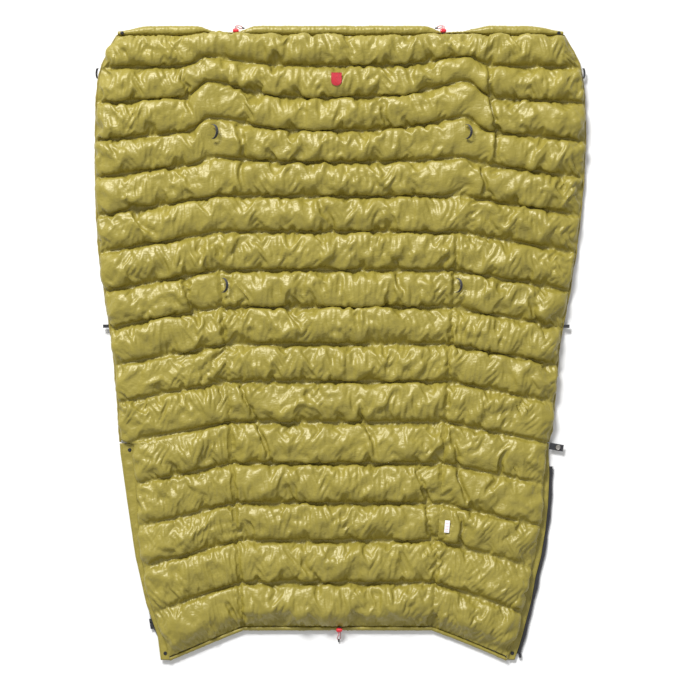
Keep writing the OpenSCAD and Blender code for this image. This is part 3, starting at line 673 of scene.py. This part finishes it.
# ---- Lining and shell ----
p, left_col, right_col, per_row = lining()
liner_parts = {-1: p[:, :left_col + 1], 0: p[:, left_col:right_col + 1], 1: p[:, right_col:]}
shells = underside()
for side in (0, -1, 1):
    name = SIDE_NAME[side]
    pts = liner_parts[side]
    ob = grid_mesh("lining_" + name, pts, MAT["liner_fabric"], flip=True)
    carry(ob, side, "liner_fabric", "liner_" + name, "down_" + name, "baffles_" + name)
    low = grid_mesh("underside_" + name, shells[side], MAT["shell_fabric"], flip=side < 0)
    carry(low, side, "shell_fabric", "shell_" + name)
    threads = [stitches(pts[i * per_row]) for i in range(N + 1)]
    if side != 0:
        threads.append(stitches(pts[STITCHED_FROM * per_row:, -1 if side < 0 else 0][::2]))
    sewn = joined("stitching_" + name, threads, MAT["thread"], smooth=False)
    carry(sewn, side, "liner_fabric")
    # closing walls at the head and foot, from the lining down to the underside
    for end, label in ((0, "head"), (-1, "foot")):
        up = pts[end]
        dn = shells[side][end]
        t = np.linspace(0, 1, len(up)) * (len(dn) - 1)
        if side < 0:
            t = t[::-1]
        base = np.stack([np.interp(t, np.arange(len(dn)), dn[:, k]) for k in range(3)], -1)
        base[:, 0] = up[:, 0]
        wall = np.stack([mix(up, base, f) for f in np.linspace(0, 1, 6)])
        wall[1:-1, :, 1] += (1 if end == 0 else -1) * 1.6 * np.abs(waves(up[:, 0], 0, 30, 8, 31))[None]
        ob = grid_mesh(f"wall_{label}_{name}", wall, MAT["shell_fabric"])
        carry(ob, side, "shell_fabric")

ALL_POINTS = p.reshape(-1, 3)


def lining_height(x, y):
    """Height of the relaxed lining near each place."""
    x, y = np.broadcast_arrays(np.asarray(x, float), np.asarray(y, float))
    out = np.zeros(x.shape)
    for k in np.ndindex(x.shape):
        d = np.square(ALL_POINTS[:, 0] - x[k]) + np.square(ALL_POINTS[:, 1] - y[k])
        near = np.argpartition(d, 4)[:4]
        w = 1 / (d[near] + 0.5)
        out[k] = (ALL_POINTS[near, 2] * w).sum() / w.sum()
    return out


# ---- Side hems and flat bands ----
def band_low(side, y):
    return mix(HEM_Z - 1, 11.5 if side < 0 else 8.0, ramp((-y - 290) / 80))


def solidify(ob, thick):
    mod = ob.modifiers.new("cloth", "SOLIDIFY")
    mod.thickness = thick * MM
    mod.offset = 0


# Spacing of the points along the hems and bands, and the height of a band's inner edge
STEP, BAND_TOP = 4.0, 16.4
# Where snaps sit on the bands: (distance from the middle of the quilt, y)
SNAPS = {-1: ((634, -320), (527, -932)), 1: ((517, -932),)}
for side in (-1, 1):
    name = SIDE_NAME[side]
    y = np.arange(-296, 930, STEP)
    x = side * (edge_half(side, y) - 2.6) + 0.7 * waves(y, 0, 60, 8, 41)
    z = 14.6 + 0.9 * waves(y, 0, 44, 8, 42)
    ang = 2 * np.pi * np.arange(10) / 10
    width = 3.4 + 0.5 * waves(y, 0, 25, 8, 43)
    ring = np.stack([x[:, None] + width[:, None] * np.cos(ang), np.repeat(y[:, None], 10, 1),
                     z[:, None] + 2.4 * np.sin(ang)], -1)
    sewn_line = np.stack([x - side * 0.8, y, z + 2.5], -1)
    hem = mesh_from("hem_binding_" + name, ring.reshape(-1, 3), rod_faces(len(y), 10), MAT["hem_binding"])
    carry(hem, side, "hem_binding", "hem_" + name, bend=False)
    ob = joined("hem_stitching_" + name, [stitches(sewn_line)], MAT["thread"], smooth=False)
    carry(ob, side, "hem_binding", bend=False)

    y = np.arange(-300, -953, -STEP)
    inner, outer = padded_half(side, y) - 3.5, edge_half(side, y)
    s = np.linspace(0, 1, 11)
    xx = inner[:, None] + (outer - inner)[:, None] * s[None]
    yy = np.repeat(y[:, None], len(s), 1)
    flat = band_low(side, y)[:, None] + 0.9
    zz = mix(BAND_TOP, flat, ramp(s * 3)[None])
    clear = 1 - sum(bell(np.hypot(xx - at_x, yy - at_y) / 13) for at_x, at_y in SNAPS[side])
    rough = 0.9 * waves(xx, yy, 38, 12, 44) + 0.7 * facets(xx, yy, 16, 45, 0.4, 1.6)
    zz = zz + rough * np.clip(s * 3, 0.2, 1) * clear
    zz[:, -1] = flat[:, 0] + 0.3 * waves(y, 0, 30, 6, 46)
    band = np.stack([side * xx, yy, np.maximum(zz, 3)], -1)
    node = "zip_flap_left" if side < 0 else "zip_band_right"
    ob = grid_mesh(node + "_cloth", band, MAT["liner_fabric"], flip=side < 0)
    solidify(ob, 1.2)
    carry(ob, side, "liner_fabric", node, bend=False)
    lines = [stitches(np.stack([side * (xx[:, c] * 0.5 + xx[:, c + 1] * 0.5), y, zz[:, c] + 0.7], -1))
             for c in (1, 8)]
    ob = joined(node + "_stitching", lines, MAT["thread"], smooth=False)
    carry(ob, side, "liner_fabric", bend=False)


# ---- Zip halves: woven tape and a coil of teeth ----
def coil(line, half_w, half_h, pitch, wire):
    """A coil wound along a line of points."""
    q = np.asarray(line, float)
    arc = arc_length(q)
    s = np.arange(0, arc[-1], pitch / 8)
    c = np.stack([np.interp(s, arc, q[:, k]) for k in range(3)], -1)
    d = np.gradient(c, axis=0)
    d /= np.linalg.norm(d, axis=1, keepdims=True)
    w = np.cross(d, [0, 0, 1.0])
    a = 2 * np.pi * s / pitch
    up = np.array([0, 0, 1.0])
    return tube(c + w * (half_w * np.cos(a))[:, None] + up * (half_h * np.sin(a))[:, None], wire, sides=5)


def woven_strip(inner, outer, z, thick):
    """A flat tape between two edge lines, closed, with ribs across it."""
    n = 9
    s = np.linspace(0, 1, n)
    ribs = 0.12 * np.cos(np.arange(n) * np.pi)
    top = inner[:, None] + (outer - inner)[:, None] * s[None, :, None]
    low = top.copy()
    top[..., 2] = z + thick / 2 + ribs
    low[..., 2] = z - thick / 2 - ribs
    ring = np.concatenate([top, low[:, ::-1]], 1)
    return ring.reshape(-1, 3), rod_faces(len(inner), 2 * n)


TAPE_W, TAPE_T = 14.0, 0.8
COIL = (1.2, 1.0, 2.4, 0.34)
LEFT_ZIP = [[-934, -536], [-885, -548], [-848, -569], [-398, -645]]
y = np.arange(-934, -398, STEP)
xl = lookup(y, LEFT_ZIP)
mid = np.stack([xl, y, np.full_like(y, 5.0)], -1)
a, b = mid.copy(), mid.copy()
a[:, 0] += 1.6
b[:, 0] += 1.5 + TAPE_W
ob = joined("zip_tape_left_weave", [woven_strip(a, b, 5.0, TAPE_T)], MAT["zip_tape"])
carry(ob, -1, "zip_tape", "zip_tape_left", bend=False)
ob = joined("zip_coil_left_teeth", [coil(mid, *COIL)], MAT["zip_plastic"])
carry(ob, -1, "zip_plastic", "zip_coil_left", bend=False)
y = np.arange(-934, -368, STEP)
xr = edge_half(1, y) + 1.5 * waves(y, 0, 70, 6, 47)
zr = 6.6 + 0.5 * waves(y, 0, 90, 6, 48)
a = np.stack([xr - 4, y, zr], -1)
b = np.stack([xr + TAPE_W - 4, y, zr], -1)
ob = joined("zip_tape_right_weave", [woven_strip(a, b, zr[:, None], TAPE_T)], MAT["zip_tape"])
carry(ob, 1, "zip_tape", "zip_tape_right", bend=False)
mid = np.stack([xr + TAPE_W - 2.4, y, zr + 0.1], -1)
ob = joined("zip_coil_right_teeth", [coil(mid, *COIL)], MAT["zip_plastic"])
carry(ob, 1, "zip_plastic", "zip_coil_right", bend=False)
ob = joined("zip_tape_right_stitching", [stitches(np.stack([xr - 1.5, y, zr + 2.6], -1))], MAT["thread"],
            smooth=False)
carry(ob, 1, "zip_tape", bend=False)


# ---- Collar tube and foot channel ----
def gather(x):
    a = np.abs(x + 2)
    return ramp((a - 240) / 80) * (1 - ramp((a - 360) / 100))


def collar_rings(side, count):
    n = 28
    t = np.linspace(-1, 1, count) if side == 0 else np.linspace(0, 1, count)
    y0 = seam_y(side, 0, t) + 1.2
    x = grid_x(side, y0, t, 4 if side else 0)
    h = 34 - 12 * gather(x) - 8 * ramp((np.abs(x) - 600) / 90)
    w = (COLLAR_W - COLLAR_PINCH * gather(x)) * (1 - 0.55 * ramp((np.abs(x) - 560) / 130))
    w = np.minimum(w, HEAD_TOP - y0)
    ang = 2 * np.pi * np.arange(n) / n
    xx = np.repeat(x[:, None], n, 1)
    aa = np.repeat(ang[None], count, 0)
    # puckers run round the tube, and are deeper where the cord gathers it
    amp = (1.0 + 1.2 * gather(x))[:, None]
    puck = amp * (0.5 * np.abs(waves(xx, 9 * np.sin(aa), 19, 12, 51))
                  + 0.4 * waves(xx, 14 * np.cos(aa), 11, 12, 52) - 0.7)
    puck += 1.4 * facets(xx, 18 * aa, 30, 54, 1.1, 1.4) + 0.8 * facets(xx, 18 * aa, 16, 55, -0.9, 1.4) - 0.4
    # the join in the tube
    puck -= 2.2 * bell((xx - 46) / 3)
    yy = y0[:, None] + w[:, None] / 2 + (w[:, None] / 2 - 0.6 + 0.7 * puck) * np.cos(aa)
    zz = 2 + h[:, None] / 2 + (h[:, None] / 2 - 0.6 + puck) * np.sin(aa)
    return np.stack([xx, yy, np.maximum(zz, 1.0)], -1)


def channel_rings(side, count):
    n = 20
    t = np.linspace(-1, 1, count) if side == 0 else np.linspace(0, 1, count)
    y0 = seam_y(side, N, t) - CHANNEL_W / 2 - 0.6
    x = grid_x(side, y0, t, 4 if side else 0)
    ang = 2 * np.pi * np.arange(n) / n
    xx = np.repeat(x[:, None], n, 1)
    aa = np.repeat(ang[None], count, 0)
    pull = bell((xx + 3) / 45)
    puck = (0.7 + 1.0 * pull) * (np.abs(waves(xx, 8 * np.sin(aa), 17, 12, 53)) - 0.7) - 1.2 * pull
    r = CHANNEL_W / 2 - 0.4 + puck
    yy = y0[:, None] + r * np.cos(aa)
    zz = CHANNEL_Z + r * np.sin(aa)
    return np.stack([xx, yy, np.maximum(zz, 0.6)], -1)


for side in (0, -1, 1):
    name = SIDE_NAME[side]
    for part, rings, count, nodes in (
            ("collar", collar_rings, 260 if side == 0 else 90, "collar_" + name),
            ("foot_channel", channel_rings, 200 if side == 0 else 80, "foot_channel_" + name)):
        r = rings(side, count)
        n = r.shape[1]
        faces = list(grid_faces(len(r), n, wrap=True, flip=side < 0))
        if side != 0:
            faces.append(tuple((len(r) - 1) * n + k for k in range(n)))
        ob = mesh_from(part + "_cloth_" + name, r.reshape(-1, 3), faces, MAT["liner_fabric"])
        hidden = [nodes] + (["foot_drawcord_" + name] if part == "foot_channel" and side else [])
        carry(ob, side, "liner_fabric", *hidden)
        top = r[:, int(n * 0.36)] if part == "collar" else r[:, int(n * 0.14)]
        lift = np.array([0, 0, 0.3])
        ob = joined(part + "_stitching_" + name, [stitches(top + lift)], MAT["thread"], smooth=False)
        carry(ob, side, "liner_fabric")


# ---- Webbing: loops, tab ----
def webbing(path, across, thick, width, ribs=9):
    """A woven band along a path: across is the direction of its width. Ribs run along both faces."""
    q = np.asarray(path, float)
    d = np.gradient(q, axis=0)
    d /= np.linalg.norm(d, axis=1, keepdims=True)
    w = np.asarray(across, float)
    nrm = np.cross(d, w)
    nrm /= np.linalg.norm(nrm, axis=1, keepdims=True)
    s = np.linspace(-0.5, 0.5, ribs * 2 + 1)
    rib = 0.10 * np.cos(np.pi * np.arange(len(s)))
    weft = 0.07 * np.cos(np.pi * np.arange(len(q)))[:, None]
    half = (thick / 2 - 0.15 + rib[None] + weft)[..., None] * nrm[:, None]
    top = q[:, None] + s[None, :, None] * width * w + half
    low = q[:, None] + s[None, :, None] * width * w - half
    ring = np.concatenate([top, low[:, ::-1]], 1)
    return ring.reshape(-1, 3), rod_faces(*ring.shape[:2])


def arch_path(base, length, height, thick, up, steps=56):
    a = np.linspace(0, np.pi, steps)
    base, up = np.asarray(base, float), np.asarray(up, float)
    q = base + np.outer((height - thick / 2) * np.sin(a), up)
    q[:, 1] += (length / 2 - thick / 2) * np.cos(a)
    return q


STANDING_Y, LYING_Y, LYING_L = 52.0, 812, 32
for side in (-1, 1):
    for level, y, z in LOOPS:
        name = f"loop_{SIDE_NAME[side]}_{level}"
        base = (MIDDLE_X + side * fold_half(y) + LOOP_SIDE, y, z)
        up = (math.sin(LOOP_TILT), 0, math.cos(LOOP_TILT))
        across = (math.cos(LOOP_TILT), 0, -math.sin(LOOP_TILT))
        arch = arch_path(base, LOOP_L, LOOP_H, LOOP_T, up)
        ob = joined(name + "_webbing", [webbing(arch, across, LOOP_T, LOOP_W)], MAT["black_webbing"])
        attach(ob, name, "black_webbing", name)
    # the loop that stands straight out from the hem
    y, z = STANDING_Y, HEM_Z + 0.8
    x0 = edge_half(side, y) + 1
    a = np.linspace(-np.pi / 2, np.pi / 2, 18)
    out = np.concatenate([np.stack([np.linspace(0, 13.5, 12), np.full(12, -3.05)], -1),
                          np.stack([14 + 3.05 * np.cos(a), 3.05 * np.sin(a)], -1),
                          np.stack([np.linspace(13.5, 0, 12), np.full(12, 3.05)], -1)])
    q = np.stack([side * (x0 + out[:, 0]), np.full(len(out), y), z + out[:, 1]], -1)
    parts = [webbing(q, (0, 1, 0), 1.3, 10)]
    # the loop that lies along the hem near the head
    x0 = edge_half(side, LYING_Y - LYING_L / 2) + 1
    arch = arch_path((side * (x0 - 1), LYING_Y, z), LYING_L, 5.0, 1.2, (side, 0, 0))
    parts.append(webbing(arch, (side * 0.7, 0, 0.714), 1.2, 7))
    ob = joined(f"side_loops_{SIDE_NAME[side]}_webbing", parts, MAT["black_webbing"])
    carry(ob, side, "black_webbing", f"side_loops_{SIDE_NAME[side]}", bend=False)

TAB = np.array([628.5, -308.0, 12.6])
TAB_TURN = math.radians(-10)
tab_u = np.array([math.cos(TAB_TURN), math.sin(TAB_TURN), 0])
tab_v = np.array([-math.sin(TAB_TURN), math.cos(TAB_TURN), 0])
s = np.linspace(0.5, 42.5, 60)
path = TAB + s[:, None] * tab_u + np.array([0, 0, 1.0]) * (0.7 + 0.25 * np.sin(s / 7))[:, None]
fold_over = TAB + np.linspace(34.5, 42.3, 12)[:, None] * tab_u + np.array([0, 0, 1.75])
TAB_W = 20
parts = [webbing(path, tab_v, 1.3, TAB_W, ribs=16), webbing(fold_over, tab_v, 0.9, TAB_W - 0.4, ribs=16)]
ob = joined("snap_tab_webbing", parts, MAT["black_webbing"])
attach(ob, "snap_tab", "black_webbing", "snap_tab")
rim = np.array([TAB + k * tab_u + w * tab_v + np.array([0, 0, 1.6])
                for k, w in ((3, -8.5), (8.5, -8.5), (8.5, 8.5), (3, 8.5), (3, -8.5))])
cross = np.array([TAB + 35.5 * tab_u + w * tab_v + np.array([0, 0, 2.3]) for w in np.linspace(-9, 9, 10)])
ob = joined("snap_tab_stitching", [stitches(rim), stitches(cross)], MAT["zip_tape"], smooth=False)
attach(ob, "snap_tab", "black_webbing")

# ---- Care label and badge ----
turn = math.radians(-5)
lab_u = np.array([math.cos(turn), math.sin(turn), 0])
lab_v = np.array([-math.sin(turn), math.cos(turn), 0])
lab_0 = np.array([309.5, -565.0, 0])
LABEL_W, LABEL_L = 15, 37
gu, gv = np.linspace(0, LABEL_W, 13), np.linspace(0, LABEL_L, 25)
lab = lab_0 + gu[None, :, None] * lab_u + gv[:, None, None] * lab_v
under = lining_height(lab[..., 0], lab[..., 1])
lab_z = np.maximum(55.0, under.mean(axis=0, keepdims=True) * 0.5 + under * 0.5 + 1.0)
lab[..., 2] = np.minimum(lab_z + 0.35 * np.sin(gv / 6)[:, None], 70)
ob = grid_mesh("care_label_tape", lab, MAT["label_white"], flip=False)
solidify(ob, 0.45)
attach(ob, "care_label", "label_white", "care_label")
bars = []
for row, (lo, hi) in enumerate(((2, 10), (2, 11), (3, 9), (2, 11), (4, 8), (2, 10))):
    r = 3 + row * 3
    strip = lab[r:r + 2, lo:hi].copy()
    strip[..., 2] += 0.32
    strip[1] = strip[0] + (strip[1] - strip[0]) * 0.8
    bars.append((strip.reshape(-1, 3), [tuple(q) for q in grid_faces(2, hi - lo)]))
ob = joined("care_label_bars", bars, MAT["label_pink"])
attach(ob, "care_label", "label_white")

BADGE_X, BADGE_Y, BADGE_HALF, BADGE_TOP, BADGE_LOW, BADGE_ROUND = -12, 789, 15, 19, -6, 13.5
corner = [(-BADGE_HALF, BADGE_TOP), (BADGE_HALF, BADGE_TOP), (BADGE_HALF, BADGE_LOW)]
arc = [(BADGE_HALF * math.cos(a), BADGE_LOW + BADGE_ROUND * math.sin(a))
       for a in np.linspace(0, -math.pi, 25)]
outline = np.array(corner + arc[1:] + [(-BADGE_HALF, BADGE_TOP)], float)
seg = arc_length(outline)
s = np.linspace(0, seg[-1], 121)[:-1]
outline = np.stack([np.interp(s, seg, outline[:, k]) for k in (0, 1)], -1)
mid = np.array([0, 3.0])
rings = np.stack([mid + (outline - mid) * f for f in np.linspace(0.02, 1, 9)])
patch = np.zeros(rings.shape[:2] + (3,))
patch[..., 0], patch[..., 1] = rings[..., 0] + BADGE_X, rings[..., 1] + BADGE_Y
smooth_z = lining_height(patch[..., 0], patch[..., 1])
patch[..., 2] = np.maximum(0.4 * smooth_z + 0.6 * smooth_z.max(), smooth_z) + 0.9
ob = grid_mesh("badge_patch", patch, MAT["badge_red"], wrap=True, flip=True)
solidify(ob, 1.0)
attach(ob, "centre", "badge_red", "badge")
edge = patch[-1]
fine = np.arange(len(edge) * 3)
ribs = 0.95 + 0.16 * np.cos(np.pi * fine)
dense = np.stack([np.interp(fine / 3, np.arange(len(edge) + 1), np.append(edge[:, k], edge[0, k]))
                  for k in range(3)], -1)
border = tube(np.concatenate([dense, dense[:1]]) + [0, 0, 0.35], np.append(ribs, ribs[0]), 8)
ob = joined("badge_border", [border], MAT["badge_red"])
attach(ob, "centre", "badge_red")

# ---- Cord locks, cords and their end clips ----
for node, slot_name in [("collar_drawcord", "red_cord"), ("foot_drawcord_centre", "red_cord"),
                        ("zip_pin", "zip_plastic"), ("zip_box", "zip_plastic"),
                        ("zip_slider", "zip_plastic"), ("zip_pull", "zip_plastic"),
                        ("snap_tab_cap", "snap_metal"), ("snaps_left", "snap_black"),
                        ("snaps_right", "snap_black"), ("cord_exits", "black_plastic")]:
    dress(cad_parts[node], slot_name)
LOCKS = {"left": (-313, 938, 34), "right": (309, 938, 34), "foot": (-3, -861, 23)}
for name, (x, y, z) in LOCKS.items():
    dress(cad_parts[f"lock_{name}_barrel"], "red_plastic")
    dress(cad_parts[f"lock_{name}_plunger"], "red_plastic")
    dress(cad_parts[f"lock_{name}_spring"], "spring_steel")
    ang = np.linspace(0, 2 * np.pi, 41)
    # grip ridges round the barrel and the plunger's rim
    parts = []
    for off, r in ((-7.2, 6.0), (-5.9, 6.35), (-4.6, 6.45), (4.2, 5.9)):
        hoop = np.stack([np.full(len(ang), x + off), y + r * np.cos(ang), z + r * np.sin(ang)], -1)
        parts.append(tube(hoop, 0.35, 6, False))
    ob = joined(f"lock_{name}_ridges", parts, MAT["red_plastic"])
    attach(ob, "lock_" + name, "red_plastic")

ROUTE_LEFT = [(-315, 929, 34), (-315, 935, 34), (-315, 941, 34), (-315, 949, 34), (-314, 951.8, 32.4),
              (-310.5, 953.4, 28), (-304.5, 954.4, 22), (-298.5, 953.8, 16.5), (-296, 952.3, 14.3),
              (-295, 949.6, 13.5), (-296, 947.2, 14.3), (-298.5, 945.9, 16.5), (-302.5, 947, 20.2),
              (-307, 949, 26), (-310.8, 950, 31.4), (-311, 948.2, 34), (-311, 941, 34), (-311, 935, 34),
              (-311, 929, 34)]
ROUTE_FOOT = [(-5, -852, 23), (-5, -860, 23), (-5, -867, 23), (-5, -873, 23), (-6, -877.5, 20.5),
              (-8, -881, 15.5), (-9.4, -883.8, 10), (-9.8, -887.5, 6), (-8.5, -890.8, 5),
              (-5.2, -892, 4.7), (-2, -890.8, 5), (-0.6, -887.5, 6), (-0.8, -883.8, 10),
              (-1.2, -881, 15.5), (-1.2, -877.5, 20.5), (-1, -873, 23), (-1, -867, 23), (-1, -860, 23),
              (-1, -852, 23)]
CORD_D = 2.2


def rounded(points, per=5):
    """A smooth line through the route's points."""
    q = np.asarray(points, float)
    q = np.concatenate([[2 * q[0] - q[1]], q, [2 * q[-1] - q[-2]]])
    out = []
    for k in range(1, len(q) - 2):
        for f in np.arange(per) / per:
            out.append(0.5 * (2 * q[k] + (q[k + 1] - q[k - 1]) * f
                              + (2 * q[k - 1] - 5 * q[k] + 4 * q[k + 1] - q[k + 2]) * f * f
                              + (3 * q[k] - q[k - 1] - 3 * q[k + 1] + q[k + 2]) * f ** 3))
    return np.array(out + [q[-2]])


def free_cord(name, route, clip_at, clip_dir):
    line = rounded(route)
    cu = bpy.data.curves.new(name, "CURVE")
    cu.dimensions = "3D"
    cu.bevel_depth = CORD_D / 2 * MM
    cu.bevel_resolution = 3
    cu.use_fill_caps = True
    sp = cu.splines.new("POLY")
    sp.points.add(len(line) - 1)
    for k, point in enumerate(line):
        sp.points[k].co = (*(point * MM), 1)
    cu.materials.append(MAT["red_cord"])
    ob = bpy.data.objects.new(name + "_line", cu)
    bpy.context.scene.collection.objects.link(ob)
    attach(ob, "centre", "red_cord", name)
    d = np.asarray(clip_dir, float) / np.linalg.norm(clip_dir)
    s = np.array([-4.25, -3.9, -3, -1.4, -1.2, 1.2, 1.4, 3, 3.6, 4.25, 4.7, 5.2])
    r = np.array([1.9, 2.3, 2.5, 2.5, 2.25, 2.25, 2.5, 2.5, 2.3, 1.9, 1.9, 1.5])
    clip = joined(name + "_clip", [tube(np.asarray(clip_at) + s[:, None] * d, r, 20)], MAT["black_plastic"])
    attach(clip, "centre", "black_plastic", "cord_ends")


free_cord("cord_loop_left", ROUTE_LEFT, (-293, 949, 11.8), (0.755, 0, -0.656))
# the right loop mirrors the left one about the middle between the two locks
ROUTE_RIGHT = [(-4 - x, y, z) for x, y, z in ROUTE_LEFT]
free_cord("cord_loop_right", ROUTE_RIGHT, (289, 949, 11.8), (-0.755, 0, -0.656))
free_cord("cord_loop_foot", ROUTE_FOOT, (-5.2, -894.4, 4.6), (0, -1, -0.052))

# ---- Floor, light and camera ----
floor_mat = material("floor_paper", (0.86, 0.86, 0.86), 0.9, tint=0.01,
                     bump=(("noise", 60, 0.02, 0.001),))
bpy.ops.mesh.primitive_plane_add(size=30, location=(0, 0, -0.0005))
floor = bpy.context.object
floor.name = "floor"
floor.data.materials.append(floor_mat)


def area_light(name, place, size, power):
    """A soft box that points at the middle of the quilt."""
    li = bpy.data.lights.new(name, "AREA")
    li.shape = "RECTANGLE"
    li.size, li.size_y = size
    li.energy = power
    ob = bpy.data.objects.new(name, li)
    bpy.context.scene.collection.objects.link(ob)
    ob.location = place
    ob.rotation_euler = Vector(-np.array(place)).to_track_quat("-Z", "Y").to_euler()


area_light("key", (-3.9, 9.0, 8.5), (4.6, 2.8), 2300)
area_light("fill", (0.6, -2.5, 4.0), (3.0, 3.0), 18)
world = bpy.data.worlds.new("studio")
bpy.context.scene.world = world
world.use_nodes = True
world.node_tree.nodes["Background"].inputs["Color"].default_value = (1, 1, 1, 1)
world.node_tree.nodes["Background"].inputs["Strength"].default_value = 0.48

CAM_HEIGHT, FRAME_WIDE = 6.0, 2.04
cam = bpy.data.cameras.new("camera")
cam.sensor_width = 36
cam.lens = 36 * (CAM_HEIGHT - 0.03) / FRAME_WIDE
cam.clip_end = 100
ob = bpy.data.objects.new("camera", cam)
bpy.context.scene.collection.objects.link(ob)
ob.location = (-0.0015, 0.0105, CAM_HEIGHT)
bpy.context.scene.camera = ob
bpy.context.scene.view_settings.view_transform = "Standard"
